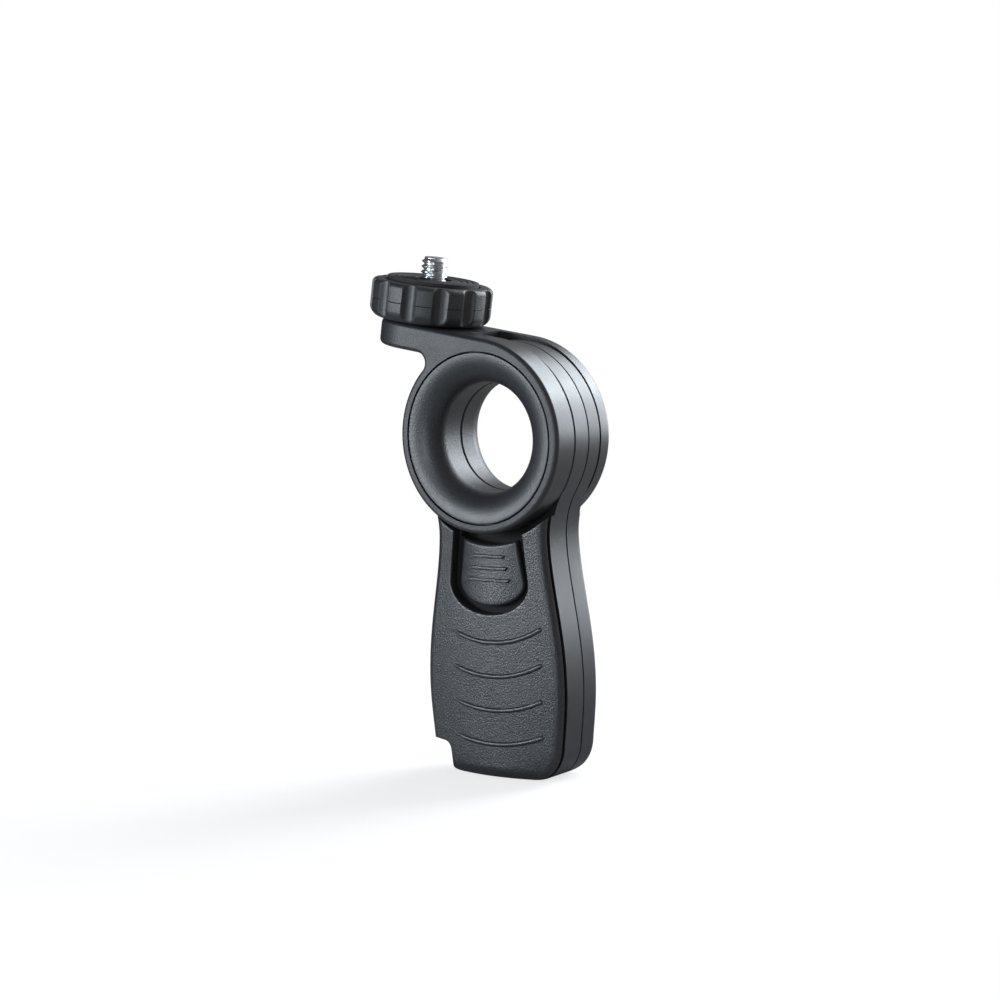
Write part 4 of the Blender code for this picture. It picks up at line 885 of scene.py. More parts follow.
def notch_outline(grow):
    far = BULGE_HALF_WIDTH + OVERRUN
    wall = NOTCH_WALL_OFFSET - grow
    fillet = NOTCH_FILLET_RADIUS + grow
    corner = NOTCH_CORNER_RADIUS - grow
    top = NOTCH_HEIGHT + grow
    points = [(-far, -OVERRUN), (corner - wall, -OVERRUN)]
    points += arc((corner - wall, corner), corner, -QUARTER, -2 * QUARTER, RIM_STEPS)
    points += arc((-wall - fillet, top - fillet), fillet, 0, QUARTER, FILLET_STEPS)
    return points + [(-far, top)]


def thumb_outline(margin, top_radius):
    """Outline of the button, or of its window when a margin is given."""
    half_angle = math.asin((BUTTON_TOP_HALF_WIDTH + margin) / top_radius)
    side_foot = AXIS_HEIGHT - BUTTON_TOP_RADIUS - BUTTON_SIDE_HEIGHT
    points = arc((0, AXIS_HEIGHT), top_radius, -QUARTER - half_angle, half_angle - QUARTER,
                 SMALL_STEPS // 2)
    for k in range(SMALL_STEPS + 1):
        angle = 2 * QUARTER * k / SMALL_STEPS
        points.append(((BUTTON_LOW_HALF_WIDTH + margin) * math.cos(angle),
                       side_foot - (BUTTON_CHIN_HEIGHT + margin) * math.sin(angle)))
    return points


def window_outline(grow):
    return thumb_outline(WINDOW_MARGIN + grow, DRUM_RADIUS - OVERRUN)


def rib(number, sizes):
    """A smile-shaped rib on the cover that fades out at its left end."""
    part = number / (RIB_COUNT - 1)
    sag = RIB_SAG_TOP + (RIB_SAG_BOTTOM - RIB_SAG_TOP) * part
    radius = (RIB_HALF_SPAN ** 2 + sag ** 2) / (2 * sag)
    swing = math.asin(RIB_HALF_SPAN / radius)
    foot = RIB_TOP_HEIGHT - RIB_PITCH * number
    rings = []
    for k, (x, z) in enumerate(arc((RIB_OFFSET, foot + radius), radius, -QUARTER - swing,
                                   swing - QUARTER, RIB_STEPS)):
        fade = min(1, (k + 1) / (RIB_FADE_SHARE * RIB_STEPS))
        end = min(1, RIB_TIP_LEAST + (RIB_STEPS - k) / (RIB_TIP_SHARE * RIB_STEPS))
        size = sizes.rib_radius * fade ** RIB_FADE_POWER * end
        sink = sizes.rib_radius - sizes.rib_proud * fade
        angle = -QUARTER + swing * (2 * k / RIB_STEPS - 1)
        outward = Vector((math.cos(angle), 0, math.sin(angle)))
        centre = Vector((x, skin(-1, x, z) + sink, z))
        tilts = [TURN * step / RIB_FACETS for step in range(RIB_FACETS)]
        rings.append([centre + outward * size * math.cos(tilt)
                      + Vector((0, size * math.sin(tilt), 0)) for tilt in tilts])
    return loft(f"rib_{number}", rings)


def hollow():
    """Room inside the closed grip, less its bosses, rails, shelf and bush block."""
    top = AXIS_HEIGHT - SHOULDER_RADIUS - SHELL_WALL
    rings = []
    for height in [BASE_WALL + (top - BASE_WALL) * k / HOLLOW_RINGS
                   for k in range(HOLLOW_RINGS + 1)]:
        side = half_width(height) - SHELL_WALL
        rings.append([(side, CORE_FRONT, height), (-side, CORE_FRONT, height),
                      (-side, CORE_REAR, height), (side, CORE_REAR, height)])
    room = loft("hollow", rings)
    shelf = SHELF_TOP - SHELF_THICKNESS
    cut(room,
        block("guard", (-FAR * 2, -FAR, -OVERRUN),
              (SHELL_WALL - NOTCH_WALL_OFFSET, FAR, NOTCH_HEIGHT + SHELL_WALL)),
        block("bush_block", (-BUSH_BLOCK_HALF_WIDTH, -FAR, -OVERRUN),
              (BUSH_BLOCK_HALF_WIDTH, FAR, BUSH_HEIGHT + CLEARANCE)),
        block("shelf", (-SHELF_HALF_WIDTH, -FAR, shelf), (SHELF_HALF_WIDTH, FAR, SHELF_TOP)),
        block("left_rail", (-SLIDE_HALF_WIDTH - RAIL_THICKNESS, -FAR, shelf),
              (-SLIDE_HALF_WIDTH, FAR, AXIS_HEIGHT)),
        block("right_rail", (SLIDE_HALF_WIDTH, -FAR, shelf),
              (SLIDE_HALF_WIDTH + RAIL_THICKNESS, FAR, AXIS_HEIGHT)))
    for place in SCREW_FRAMES:
        cut(room, rod("boss", SCREW_BOSS_RADIUS, -FAR, FAR, place))
    return room


def shell(side, sizes):
    """One shell of the grip with its half of the drum."""
    name = "front_shell" if side < 0 else "rear_shell"
    seam = CLEARANCE / 2
    rounding = sizes.seam_round
    depth = DRUM_DEPTHS[side]
    piece = loft(name, [shell_section(side, height, rounding)
                        for height in levels(0, NECK_TOP)])
    rows = [(DRUM_RADIUS - EDGE_CHAMFER, depth), (DRUM_RADIUS, depth - EDGE_CHAMFER)]
    rows += [(DRUM_RADIUS - rounding * inset, seam + rounding * left)
             for inset, left in rounded(SEAM_STEPS)]
    join(piece, spun(name + "_drum", [(radius, side * out) for radius, out in rows],
                     FINE_STEPS, HUB_FRAME))
    cut(piece, flared(name + "_shoulder", shoulder_outline, sizes.lip_radius, side,
                      side * depth))
    if side < 0:
        cut(piece, prism("notch", notch_outline(0), -FAR, FAR))
    else:
        cut(piece, flared("notch", notch_outline, sizes.lip_radius, 1, -FAR))
    low, high = sorted((side * (depth + OVERRUN), side * (depth - GLIDE_SEAT_DEPTH)))
    wide = BUSH_RADIUS + CLEARANCE
    collar = BUSH_COLLAR_RADIUS + CLEARANCE
    foot = BUSH_COLLAR_FOOT - CLEARANCE
    top = BUSH_COLLAR_TOP + CLEARANCE
    cut(piece, hollow(),
        rod("hub_way", DRUM_BORE_RADIUS, -FAR, FAR, HUB_FRAME, FINE_STEPS),
        rod("glide_seat", GLIDE_SEAT_RADIUS, low, high, HUB_FRAME, FINE_STEPS),
        block("slide_way", (-SLIDE_HALF_WIDTH, SLIDE_FRONT, SLIDE_FOOT),
              (SLIDE_HALF_WIDTH, SLIDE_REAR, AXIS_HEIGHT - LINING_RADIUS / 2)),
        spun("bush_way", [(wide, -OVERRUN), (wide, foot), (collar, foot), (collar, top),
                          (wide, top), (wide, BUSH_HEIGHT + OVERRUN)], SMALL_STEPS))
    return piece


def slot_over_button():
    """The deep gap between the drum and the top of the button."""
    outer = BUTTON_TOP_RADIUS + CLEARANCE
    reach = math.asin((BUTTON_TOP_HALF_WIDTH + WINDOW_MARGIN) / outer)
    band = arc((0, AXIS_HEIGHT), outer, -QUARTER - reach, reach - QUARTER, BEND_STEPS)
    band += arc((0, AXIS_HEIGHT), DRUM_RADIUS, reach - QUARTER, -QUARTER - reach, BEND_STEPS)
    return prism("slot_over_button", band, -FAR, SLIDE_FRONT - CLEARANCE)


def cover_room():
    """Room for the cover, and for the groove round the grip behind the cover's rim."""
    wide = DRUM_RADIUS + OVERRUN
    room = block("cover_room", (-wide, -FAR, -OVERRUN), (wide, GROOVE_END, AXIS_HEIGHT + wide))
    rings = []
    for height in levels(SHADOW_GAP_DEPTH, NECK_TOP):
        side = half_width(height) - SHADOW_GAP_DEPTH
        rings.append([(side, COVER_SEAT, height), (-side, COVER_SEAT, height),
                      (-side, FAR, height), (side, FAR, height)])
    return cut(room, loft("cover_seat", rings))


# Operators

class MOUNT_OT_stage(bpy.types.Operator):
    """Set the camera, the pale floor, the soft lamps and the white surround"""

    bl_idname = "camera_mount.stage"
    bl_label = "Stage"

    def execute(self, context):
        stage = context.scene.mount_stage
        lens = bpy.data.cameras.new("camera")
        lens.lens = CAMERA_LENS
        lens.sensor_width = CAMERA_SENSOR
        camera = bpy.data.objects.new("camera", lens)
        camera.location = CAMERA_PLACE
        camera.rotation_euler = [math.radians(angle) for angle in CAMERA_ANGLES]
        context.scene.collection.objects.link(camera)
        context.scene.camera = camera
        context.scene.view_settings.view_transform = "Standard"

        self.add_floor(stage)
        for name, (size, place) in LAMPS.items():
            self.add_lamp(context, name + "_lamp", getattr(stage, name), size, Vector(place))
        self.set_world(context, stage)
        return {"FINISHED"}

    @staticmethod
    def add_floor(stage):
        """A floor that fades into the backdrop and keeps the mount's shadow."""
        reach = stage.floor_reach
        angles = [TURN * k / FLOOR_STEPS for k in range(FLOOR_STEPS)]
        floor = link_mesh("floor", [(reach * math.cos(angle), reach * math.sin(angle),
                                     -FLOOR_DROP) for angle in angles],
                          [tuple(range(FLOOR_STEPS))])
        material = bpy.data.materials.new("pale_floor")
        material.use_nodes = True
        tree = material.node_tree
        shader = tree.nodes["Principled BSDF"]
        shader.inputs["Base Color"].default_value = (*stage.floor, 1)
        shader.inputs["Roughness"].default_value = FLOOR_ROUGHNESS
        shader.inputs["Specular IOR Level"].default_value = 0.0
        camera_ray = add_node(tree, "LightPath").outputs["Is Camera Ray"]
        lifted = add_node(tree, "Math", {0: camera_ray, 1: FLOOR_GLOW}, operation="MULTIPLY")
        glow = add_node(tree, "Emission", {"Strength": lifted.outputs[0]})
        both = add_node(tree, "AddShader", {0: shader.outputs[0], 1: glow.outputs[0]})
        place = add_node(tree, "TexCoord").outputs["Object"]
        distance = add_node(tree, "VectorMath", {0: place}, operation="LENGTH")
        fade = spread(tree, distance.outputs["Value"], 0, 1,
                      [part * reach for part in FLOOR_FADE])
        clear = add_node(tree, "BsdfTransparent")
        mixed = add_node(tree, "MixShader", {0: fade, 1: both.outputs[0],
                                             2: clear.outputs[0]})
        tree.links.new(mixed.outputs[0], tree.nodes["Material Output"].inputs["Surface"])
        floor.data.materials.append(material)

    @staticmethod
    def add_lamp(context, name, watts, size, place):
        light = bpy.data.lights.new(name, "AREA")
        light.energy = watts
        light.color = LAMP_COLOUR
        light.shape = "RECTANGLE"
        light.size, light.size_y = size
        lamp = bpy.data.objects.new(name, light)
        lamp.location = place
        lamp.visible_camera = False
        lamp.rotation_euler = (LAMP_AIM - place).to_track_quat("-Z", "Y").to_euler()
        context.scene.collection.objects.link(lamp)

    @staticmethod
    def set_world(context, stage):
        """White to the camera; to the mount a studio that is darker at the front and below."""
        world = bpy.data.worlds.new("surround")
        context.scene.world = world
        world.use_nodes = True
        tree = world.node_tree
        place = add_node(tree, "TexCoord").outputs["Generated"]
        lean = add_node(tree, "VectorMath", {0: place, 1: SURROUND_WAY},
                        operation="DOT_PRODUCT")
        glow = spread(tree, lean.outputs["Value"], SURROUND_LEAST * stage.surround,
                      stage.surround, SURROUND_SPAN)
        camera_ray = add_node(tree, "LightPath").outputs["Is Camera Ray"]
        strength = add_node(tree, "Mix", {0: camera_ray, 2: glow, 3: 1.0}).outputs[0]
        background = tree.nodes["Background"]
        background.inputs["Color"].default_value = (1, 1, 1, 1)
        tree.links.new(strength, background.inputs["Strength"])


class MOUNT_OT_grip_cover(bpy.types.Operator):
    """Mould the grained front cover with its window and four ribs"""

    bl_idname = "camera_mount.grip_cover"
    bl_label = "Grip Cover"

    def execute(self, context):
        sizes = context.scene.mount_grip
        piece = loft("grip_cover_moulding", [cover_section(height)
                                             for height in levels(COVER_FOOT, NECK_TOP)])
        lip = sizes.lip_radius
        deep = COVER_BACK + OVERRUN
        cut(piece, flared("cover_shoulder", shoulder_outline, lip, -1, deep),
            flared("cover_notch", notch_outline, lip, -1, deep),
            flared("cover_window", window_outline, lip, -1, deep))
        for number in range(RIB_COUNT):
            join(piece, rib(number, sizes))
        dress(piece, grained_plastic(context.scene.mount_finish), "handle", "grip_plastic",
              "grip_cover")
        return {"FINISHED"}


class MOUNT_OT_grip_shells(bpy.types.Operator):
    """Mould the two satin shells of the grip with their halves of the drum"""

    bl_idname = "camera_mount.grip_shells"
    bl_label = "Grip Shells"

    def execute(self, context):
        sizes = context.scene.mount_grip
        satin = satin_plastic(context.scene.mount_finish)
        front = shell(-1, sizes)
        cut(front, cover_room(),
            block("stem_way", (-STEM_HALF_WIDTH, -FAR, STEM_FOOT),
                  (STEM_HALF_WIDTH, SLIDE_FRONT + OVERRUN, STEM_TOP)),
            slot_over_button())
        join(front, rod("spring_spigot", SPIGOT_RADIUS, SHELF_TOP - OVERRUN,
                        SHELF_TOP + SPIGOT_HEIGHT,
                        Matrix.Translation((0, -SPRING_DEPTH, 0))))
        rear = shell(1, sizes)
        for place in SCREW_FRAMES:
            cut(front, rod("pilot", SCREW_RADIUS + CLEARANCE, CORE_FRONT, 0, place))
            cut(rear, rod("way", SCREW_RADIUS + CLEARANCE, 0, FAR, place),
                rod("recess", SCREW_HEAD_RADIUS + CLEARANCE, SCREW_SEAT, FAR, place))
        dress(front, satin, "handle", "body_plastic", "handle_front_shell")
        dress(rear, satin, "handle", "body_plastic", "handle_rear_shell")
        return {"FINISHED"}


class MOUNT_OT_shell_screws(bpy.types.Operator):
    """Turn the four screws that close the grip, with their cross recesses"""

    bl_idname = "camera_mount.shell_screws"
    bl_label = "Shell Screws"

    def execute(self, context):
        steel = zinc_steel(context.scene.mount_finish)
        seat = SCREW_SEAT + CLEARANCE
        tip = seat - SCREW_LENGTH
        top = seat + SCREW_HEAD_HEIGHT
        head = SCREW_HEAD_RADIUS
        for number, place in enumerate(SCREW_FRAMES):
            rows = [(SCREW_TIP_RADIUS, tip)]
            for k in range(SCREW_RINGS):
                along = tip + SCREW_RING_STEP * (k + 1)
                taper = min(1, SCREW_TAPER_LEAST
                            + (1 - SCREW_TAPER_LEAST) * k / SCREW_TAPER_RINGS)
                rows.append((thread(SCREW_RADIUS * taper, SCREW_THREAD_DEPTH * taper,
                                    SCREW_PITCH, along), along))
            rows += [(SCREW_RADIUS, seat - SCREW_SHANK), (SCREW_RADIUS, seat),
                     (head - SCREW_HEAD_EDGE, seat), (head, seat + SCREW_HEAD_EDGE)]
            rows += [(head - SCREW_DOME_WIDTH * inset, top - SCREW_DOME_HEIGHT * left)
                     for inset, left in rounded(RIM_STEPS)]
            screw = spun(f"closing_screw_{number + 1}", rows, SMALL_STEPS, place)
            low = top - DRIVE_DEPTH
            high = top + OVERRUN
            cut(screw, block("slot", (-DRIVE_HALF, -DRIVE_THIN, low),
                             (DRIVE_HALF, DRIVE_THIN, high), place),
                block("cross", (-DRIVE_THIN, -DRIVE_HALF, low),
                      (DRIVE_THIN, DRIVE_HALF, high), place))
            dress(screw, steel, "handle", "zinc_steel", f"shell_screw_{number + 1}")
        return {"FINISHED"}


class MOUNT_OT_tripod_bush(bpy.types.Operator):
    """Turn the brass tripod bush with its inner thread"""

    bl_idname = "camera_mount.tripod_bush"
    bl_label = "Tripod Bush"

    def execute(self, context):
        edge = EDGE_CHAMFER
        rows = [(BUSH_RADIUS - edge, 0), (BUSH_RADIUS, edge), (BUSH_RADIUS, BUSH_COLLAR_FOOT),
                (BUSH_COLLAR_RADIUS, BUSH_COLLAR_FOOT), (BUSH_COLLAR_RADIUS, BUSH_COLLAR_TOP),
                (BUSH_RADIUS, BUSH_COLLAR_TOP), (BUSH_RADIUS, BUSH_HEIGHT - edge),
                (BUSH_RADIUS - edge, BUSH_HEIGHT), (STUD_RADIUS + 2 * edge, BUSH_HEIGHT)]
        count = THREAD_RINGS["bush"]
        for k in range(count + 1):
            along = BUSH_HEIGHT - edge - (BUSH_HEIGHT - 3 * edge) * k / count
            rows.append((thread(STUD_RADIUS + edge / 3, THREAD_DEPTH, THREAD_PITCH, along),
                         along))
        rows.append((STUD_RADIUS + 2 * edge, 0))
        bush = spun("threaded_tripod_bush", rows, TURNED_STEPS, looped=True)
        dress(bush, turned_brass(context.scene.mount_finish), "handle", "brass",
              "tripod_insert")
        return {"FINISHED"}


class MOUNT_OT_thumb_button(bpy.types.Operator):
    """Mould the thumb button with its crown and three bars"""

    bl_idname = "camera_mount.thumb_button"
    bl_label = "Thumb Button"

    def execute(self, context):
        sizes = context.scene.mount_grip
        edge = sizes.button_edge
        rings = [[(x, BUTTON_BACK, z) for x, z in thumb_outline(0, BUTTON_TOP_RADIUS)]]
        for inset, left in rounded(RIM_STEPS):
            outline = thumb_outline(-edge * inset, BUTTON_TOP_RADIUS + edge * inset)
            rings.append([(x, self.face(x) + edge * left, z) for x, z in outline])
        middle = AXIS_HEIGHT - BUTTON_TOP_RADIUS - BUTTON_SIDE_HEIGHT / 2
        outline = thumb_outline(-edge, BUTTON_TOP_RADIUS + edge)
        for k in range(1, BUTTON_RINGS):
            part = 1 - k / BUTTON_RINGS
            rings.append([(x * part, self.face(x * part), middle + (z - middle) * part)
                          for x, z in outline])
        button = loft("thumb_button", rings)
        for number in range(BAR_COUNT):
            join(button, self.bar(number, sizes.bar_proud))
        cut(button, rod("pilot", PILOT_RADIUS, BUTTON_FACE + PILOT_SKIN, BUTTON_BACK + OVERRUN,
                        Matrix.Translation((0, 0, LATCH_SCREW_HEIGHT)) @ ALONG_Y))
        dress(button, grained_plastic(context.scene.mount_finish), "latch", "button_plastic",
              "latch_button")
        return {"FINISHED"}

    @staticmethod
    def face(x):
        return BUTTON_FACE + BUTTON_CROWN_RADIUS - math.sqrt(BUTTON_CROWN_RADIUS ** 2 - x * x)

    @classmethod
    def bar(cls, number, proud):
        half = BAR_HALF_LENGTH + BAR_GROWTH * number
        height = AXIS_HEIGHT - BUTTON_TOP_RADIUS - BAR_PITCH * (number + 1)
        thick = BAR_HEIGHT / 2
        rings = []
        rows = [(0, -BAR_ROOT)] + [(inset, part * proud) for inset, part in BAR_PROFILE]
        for inset, rise in rows:
            reach = half - inset
            ring = []
            for way in (1, -1):
                ring += [(way * (2 * reach * k / BAR_STEPS - reach
                                 - (BAR_LEAN if k == BAR_STEPS else 0)),
                          height - way * (thick - inset)) for k in range(BAR_STEPS + 1)]
            rings.append([(x, cls.face(x) - rise * (BAR_MIDDLE_SHARE
                                                    + (1 - BAR_MIDDLE_SHARE) * x / half), z)
                          for x, z in ring])
        return loft(f"bar_{number}", rings)


def fork_outline():
    """Ring, platform and the crest that blends them, seen from the front."""
    lift = math.sin(CREST_ANGLE)
    crest_radius = (PLATFORM_TOP - DRUM_RADIUS * lift) / (1 - lift)
    back = crest_radius - DRUM_RADIUS
    crest = (-back * math.cos(CREST_ANGLE), -back * lift)
    notch_z = PLATFORM_UNDERSIDE - PLATFORM_NOTCH_RADIUS
    reach = DRUM_RADIUS + PLATFORM_NOTCH_RADIUS
    notch = (-math.sqrt(reach ** 2 - notch_z ** 2), notch_z)
    notch_angle = math.atan2(notch_z, notch[0])
    end = -(STUD_REACH + PLATFORM_END_RADIUS + OVERRUN)
    points = [(end, PLATFORM_TOP)]
    points += arc(crest, crest_radius, QUARTER, CREST_ANGLE, BEND_STEPS)
    points += arc((0, 0), DRUM_RADIUS, CREST_ANGLE, notch_angle - TURN, HUB_STEPS)[1:]
    points += arc(notch, PLATFORM_NOTCH_RADIUS, notch_angle - 2 * QUARTER, QUARTER,
                  FILLET_STEPS)[1:]
    return points + [(end, PLATFORM_UNDERSIDE)]


class MOUNT_OT_fork_arm(bpy.types.Operator):
    """Mould the fork: two ring plates, the platform that joins them and its rounded edges"""

    bl_idname = "camera_mount.fork_arm"
    bl_label = "Fork Arm"

    def execute(self, context):
        sizes = context.scene.mount_arm
        fork = prism("fork_arm_moulding", fork_outline(), FRONT_FACE, REAR_FACE, ARM_FRAME)
        combine(fork, "INTERSECT", self.plan())
        round_edges(fork, sizes.edge_radius)
        seat = FLANGE_THICKNESS + CLEARANCE
        under = PLATFORM_UNDERSIDE - OVERRUN
        cap_top = PLATFORM_UNDERSIDE + CAP_THICKNESS + CLEARANCE
        way = 2 * FAR
        cut(fork, self.slot())
        for name, radius, start, end in (("hub_way", STEP_RADIUS, -way, way),
                                         ("front_seat", FLANGE_RADIUS, -way, FRONT_FACE + seat),
                                         ("rear_seat", FLANGE_RADIUS, REAR_FACE - seat, way)):
            cut(fork, rod(name, radius + CLEARANCE, start, end, ARM_HUB_FRAME, FINE_STEPS))
        for name, radius, end, steps in (
                ("stud_way", STUD_RADIUS, PLATFORM_TOP + OVERRUN, SMALL_STEPS),
                ("head_way", STUD_HEAD_RADIUS, cap_top + STUD_HEAD_HEIGHT + CLEARANCE,
                 HEX_SIDES),
                ("cap_way", CAP_RADIUS, cap_top, TURNED_STEPS)):
            cut(fork, rod(name, radius + CLEARANCE, under, end, WHEEL_FRAME, steps))
        dress(fork, arm_plastic(context.scene.mount_finish), "arm", "arm_plastic", "arm_fork")
        return {"FINISHED"}

    @staticmethod
    def plan():
        """Plan of the arm: straight sides with a half round end about the stud."""
        side = PLATFORM_END_RADIUS
        over = side + OVERRUN
        plan = [(STUD_REACH, ARM_MID - over), (STUD_REACH, ARM_MID + over),
                (-STUD_REACH, ARM_MID + over)]
        plan += arc((-STUD_REACH, ARM_MID), side, QUARTER, 3 * QUARTER, SMALL_STEPS)
        plan += [(-STUD_REACH, ARM_MID - over)]
        tall = DRUM_RADIUS + PLATFORM_TOP
        return loft("plan", [[(x, y, z) for x, y in plan] for z in (-tall, tall)], ARM_FRAME)

    @staticmethod
    def slot():
        """Room between the plates for the drum, open to the right of the bridge."""
        radius = DRUM_RADIUS + FORK_DRUM_GAP
        start = math.acos(-BRIDGE_OFFSET / radius)
        outline = arc((0, 0), radius, start, TURN, HUB_STEPS)
        outline += [(STUD_REACH, 0), (STUD_REACH, STUD_REACH), (-BRIDGE_OFFSET, STUD_REACH)]
        return prism("slot", outline, FRONT_INNER, REAR_INNER, ARM_FRAME)


class MOUNT_OT_hub_bezels(bpy.types.Operator):
    """Turn the two flared bezels that line the hollow hub"""

    bl_idname = "camera_mount.hub_bezels"
    bl_label = "Hub Bezels"

    def execute(self, context):
        rim = context.scene.mount_arm.rim_round
        satin = bezel_plastic(context.scene.mount_finish)
        for side, face, inner, throat in ((-1, FRONT_FACE, FRONT_INNER, FRONT_THROAT_DEPTH),
                                          (1, REAR_FACE, REAR_INNER, REAR_THROAT_DEPTH)):
            name = "front" if side < 0 else "rear"
            seam = BORE_SEAM + side * CLEARANCE / 2
            step = face - side * FLANGE_THICKNESS
            rows = [(BORE_RADIUS + rim, seam), (SLEEVE_RADIUS, seam), (SLEEVE_RADIUS, inner),
                    (STEP_RADIUS, inner), (STEP_RADIUS, step), (FLANGE_RADIUS, step)]
            rows += [(FLANGE_RADIUS - rim * inset, face - side * rim * left)
                     for inset, left in rounded(BEVEL_STEPS)]
            reach = FLANGE_RADIUS - rim - BORE_RADIUS
            rows += [(FLANGE_RADIUS - rim - reach * math.sin(QUARTER * k / THROAT_STEPS),
                      face - side * throat * (1 - math.cos(QUARTER * k / THROAT_STEPS)))
                     for k in range(1, THROAT_STEPS + 1)]
            rows += [(BORE_RADIUS, seam + side * rim)]
            bezel = spun(f"{name}_hub_bezel", rows, FINE_STEPS, ARM_HUB_FRAME, looped=True)
            if side < 0:
                for number in range(KEY_COUNT):
                    turn = ARM_FRAME @ Matrix.Rotation(TURN * number / KEY_COUNT, 4, "Y")
                    join(bezel, block("key", (-KEY_WIDTH / 2, FRONT_INNER - OVERRUN,
                                              SLEEVE_RADIUS - OVERRUN),
                                      (KEY_WIDTH / 2, seam - CLEARANCE,
                                       SLEEVE_RADIUS + KEY_HEIGHT), turn))
            dress(bezel, satin, "arm", "bezel_plastic", f"{name}_bezel")
        return {"FINISHED"}


class MOUNT_OT_camera_stud(bpy.types.Operator):
    """Turn the threaded camera stud with its hex head, and the cap that hides it"""

    bl_idname = "camera_mount.camera_stud"
    bl_label = "Camera Stud"

    def execute(self, context):
        finish = context.scene.mount_finish
        foot = PLATFORM_UNDERSIDE + CAP_THICKNESS + CLEARANCE
        head = foot + STUD_HEAD_HEIGHT

        def hexagon(angle):
            half = TURN / HEX_SIDES / 2
            return STUD_HEAD_RADIUS * math.cos(half) / math.cos(angle % (2 * half) - half)

        rows = [(hexagon, foot), (hexagon, head), (STUD_RADIUS, head),
                (STUD_RADIUS, head + OVERRUN)]
        count = THREAD_RINGS["stud"]
        for k in range(1, count + 1):
            along = head + OVERRUN + (STUD_TIP - head - OVERRUN) * k / count
            limit = STUD_RADIUS - max(0, along - (STUD_TIP - STUD_CHAMFER))
            turn = thread(STUD_RADIUS, THREAD_DEPTH, THREAD_PITCH, along)
            rows.append((lambda angle, turn=turn, limit=limit: min(turn(angle), limit), along))
        stud = spun("threaded_camera_stud", rows, TURNED_STEPS, WHEEL_FRAME)
        dress(stud, zinc_steel(finish), "arm", "zinc_steel", "camera_stud")

        low = PLATFORM_UNDERSIDE
        edge = EDGE_CHAMFER
        cap = spun("stud_pocket_cap", [(CAP_RADIUS, low + CAP_THICKNESS),
                                       (CAP_RADIUS, low + edge), (CAP_RADIUS - edge, low)],
                   CAP_STEPS, WHEEL_FRAME)
        dress(cap, arm_plastic(finish), "arm", "arm_plastic", "stud_cap")
        return {"FINISHED"}


class MOUNT_OT_lock_wheel(bpy.types.Operator):
    """Mould the fluted lock wheel with soft lobes and a moulding seam"""

    bl_idname = "camera_mount.lock_wheel"
    bl_label = "Lock Wheel"

    def execute(self, context):
        sizes = context.scene.mount_arm
        seat = WHEEL_TOP - PAD_SEAT_DEPTH
        seat_radius = PAD_RADIUS + CLEARANCE
        rows = [(WHEEL_BORE_RADIUS, seat), (seat_radius, seat),
                (seat_radius, WHEEL_TOP - WHEEL_SEAT_CHAMFER),
                (seat_radius + WHEEL_SEAT_CHAMFER, WHEEL_TOP)]
        outer = arc((WHEEL_RADIUS - WHEEL_TOP_ROUND, WHEEL_TOP - WHEEL_TOP_ROUND),
                    WHEEL_TOP_ROUND, QUARTER, 0, RIM_STEPS)
        middle = (WHEEL_TOP + WHEEL_FOOT) / 2
        half = sizes.seam_width / 2
        outer += [(WHEEL_RADIUS, middle + 2 * half), (WHEEL_RADIUS, middle + half),
                  (WHEEL_RADIUS - sizes.seam_depth, middle), (WHEEL_RADIUS, middle - half),
                  (WHEEL_RADIUS, middle - 2 * half)]
        outer += arc((WHEEL_RADIUS - WHEEL_BOTTOM_ROUND, WHEEL_FOOT + WHEEL_BOTTOM_ROUND),
                     WHEEL_BOTTOM_ROUND, 0, -QUARTER, FILLET_STEPS)
        rows += [(self.lobed(radius, sizes.lobe_round), along) for radius, along in outer]
        rows.append((WHEEL_BORE_RADIUS, WHEEL_FOOT))
        wheel = spun("fluted_lock_wheel", rows, FLUTE_COUNT * LOBE_STEPS, WHEEL_FRAME,
                     looped=True)
        cut(wheel, rod("bush_way", WHEEL_BUSH_RADIUS + CLEARANCE, WHEEL_FOOT - OVERRUN,
                       WHEEL_FOOT + WHEEL_BUSH_HEIGHT + CLEARANCE, WHEEL_FRAME,
                       HEX_SIDES))
        dress(wheel, wheel_plastic(context.scene.mount_finish), "wheel", "wheel_plastic",
              "lock_wheel")
        return {"FINISHED"}

    @staticmethod
    def lobed(radius, soft):
        """Radius at an angle: the wheel's, less the flutes, with a soft edge between."""
        centre = WHEEL_RADIUS + FLUTE_RADIUS - FLUTE_DEPTH
        pitch = TURN / FLUTE_COUNT

        def reach(angle):
            away = abs(angle % pitch - pitch / 2)
            side = centre * math.sin(away)
            flute = centre * math.cos(away)
            if side < FLUTE_RADIUS:
                flute -= math.sqrt(FLUTE_RADIUS ** 2 - side ** 2)
            else:
                flute += FLUTE_RUNOUT * (side - FLUTE_RADIUS)
            least = min(radius, flute)
            return least - soft * math.log(math.exp((least - radius) / soft)
                                           + math.exp((least - flute) / soft))
        return reach


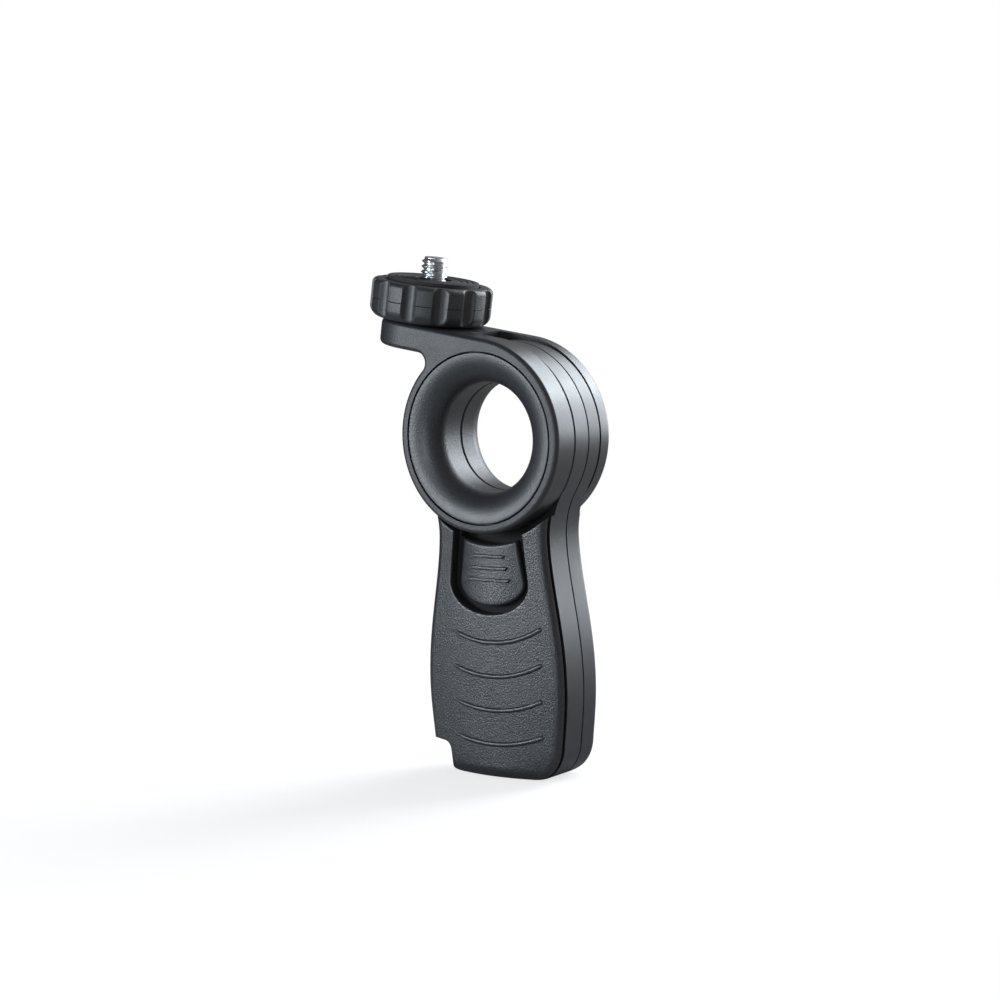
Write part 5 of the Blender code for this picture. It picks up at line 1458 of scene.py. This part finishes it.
class MOUNT_OT_camera_pad(bpy.types.Operator):
    """Mould the rubber pad with its rounded rim and grip rings"""

    bl_idname = "camera_mount.camera_pad"
    bl_label = "Camera Pad"

    def execute(self, context):
        edge = PAD_EDGE
        groove = PAD_RING_DEPTH
        rows = [(PAD_BORE_RADIUS, PAD_FOOT), (PAD_RADIUS, PAD_FOOT)]
        rows += arc((PAD_RADIUS - edge, PAD_TOP - edge), edge, 0, QUARTER, PAD_EDGE_STEPS)
        for number in range(PAD_RING_COUNT):
            middle = PAD_RADIUS - PAD_RING_INSET - PAD_RING_PITCH * number
            rows += [(middle + 2 * groove, PAD_TOP), (middle + groove, PAD_TOP - groove),
                     (middle - groove, PAD_TOP - groove), (middle - 2 * groove, PAD_TOP)]
        rows += [(PAD_BORE_RADIUS + edge, PAD_TOP), (PAD_BORE_RADIUS, PAD_TOP - edge)]
        pad = spun("rubber_pad", rows, FINE_STEPS, WHEEL_FRAME, looped=True)
        dress(pad, matte_rubber(context.scene.mount_finish), "pad", "pad_rubber",
              "camera_pad")
        return {"FINISHED"}


class MOUNT_OT_inner_fittings(bpy.types.Operator):
    """Finish the fittings that work inside the mount"""

    bl_idname = "camera_mount.inner_fittings"
    bl_label = "Inner Fittings"

    def execute(self, context):
        finish = context.scene.mount_finish
        steel = zinc_steel(finish)
        glide = acetal("natural_acetal", finish.acetal)
        finishes = {
            "front_glide_ring": glide,
            "rear_glide_ring": glide,
            "latch_slide": acetal("dark_acetal", finish.carrier),
            "latch_screw": steel,
            "latch_spring": steel,
            "brake_drum": steel,
            "brake_lining": friction_lining(finish),
            "wheel_insert": turned_brass(finish),
        }
        for name, material in finishes.items():
            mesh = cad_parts[name].data
            mesh.materials.clear()
            mesh.materials.append(material)
        return {"FINISHED"}


# Panel and registration

STEPS = (MOUNT_OT_stage, MOUNT_OT_grip_shells, MOUNT_OT_grip_cover, MOUNT_OT_shell_screws,
         MOUNT_OT_tripod_bush, MOUNT_OT_thumb_button, MOUNT_OT_fork_arm, MOUNT_OT_hub_bezels,
         MOUNT_OT_camera_stud, MOUNT_OT_lock_wheel, MOUNT_OT_camera_pad,
         MOUNT_OT_inner_fittings)


class MOUNT_PT_panel(bpy.types.Panel):
    """Sizes, finishes and steps of the camera mount"""

    bl_idname = "MOUNT_PT_panel"
    bl_label = "Camera Mount"
    bl_space_type = "VIEW_3D"
    bl_region_type = "UI"
    bl_category = "Camera Mount"

    def draw(self, context):
        for title in GROUPS:
            group = getattr(context.scene, title)
            box = self.layout.box()
            for name in group.bl_rna.properties.keys():
                if name not in ("rna_type", "name"):
                    box.prop(group, name)
        for step in STEPS:
            self.layout.operator(step.bl_idname)


GROUPS = {"mount_grip": MOUNT_PG_grip, "mount_arm": MOUNT_PG_arm,
          "mount_finish": MOUNT_PG_finish, "mount_stage": MOUNT_PG_stage}
CLASSES = (*STEPS, MOUNT_PT_panel)


def register():
    for name, group in GROUPS.items():
        bpy.utils.register_class(group)
        setattr(bpy.types.Scene, name, bpy.props.PointerProperty(type=group))
    for item in CLASSES:
        bpy.utils.register_class(item)


def unregister():
    for item in reversed(CLASSES):
        bpy.utils.unregister_class(item)
    for name, group in GROUPS.items():
        delattr(bpy.types.Scene, name)
        bpy.utils.unregister_class(group)


def main():
    register()
    for step in STEPS:
        getattr(bpy.ops.camera_mount, step.bl_idname.split(".")[1])()


if __name__ == "__main__":
    main()
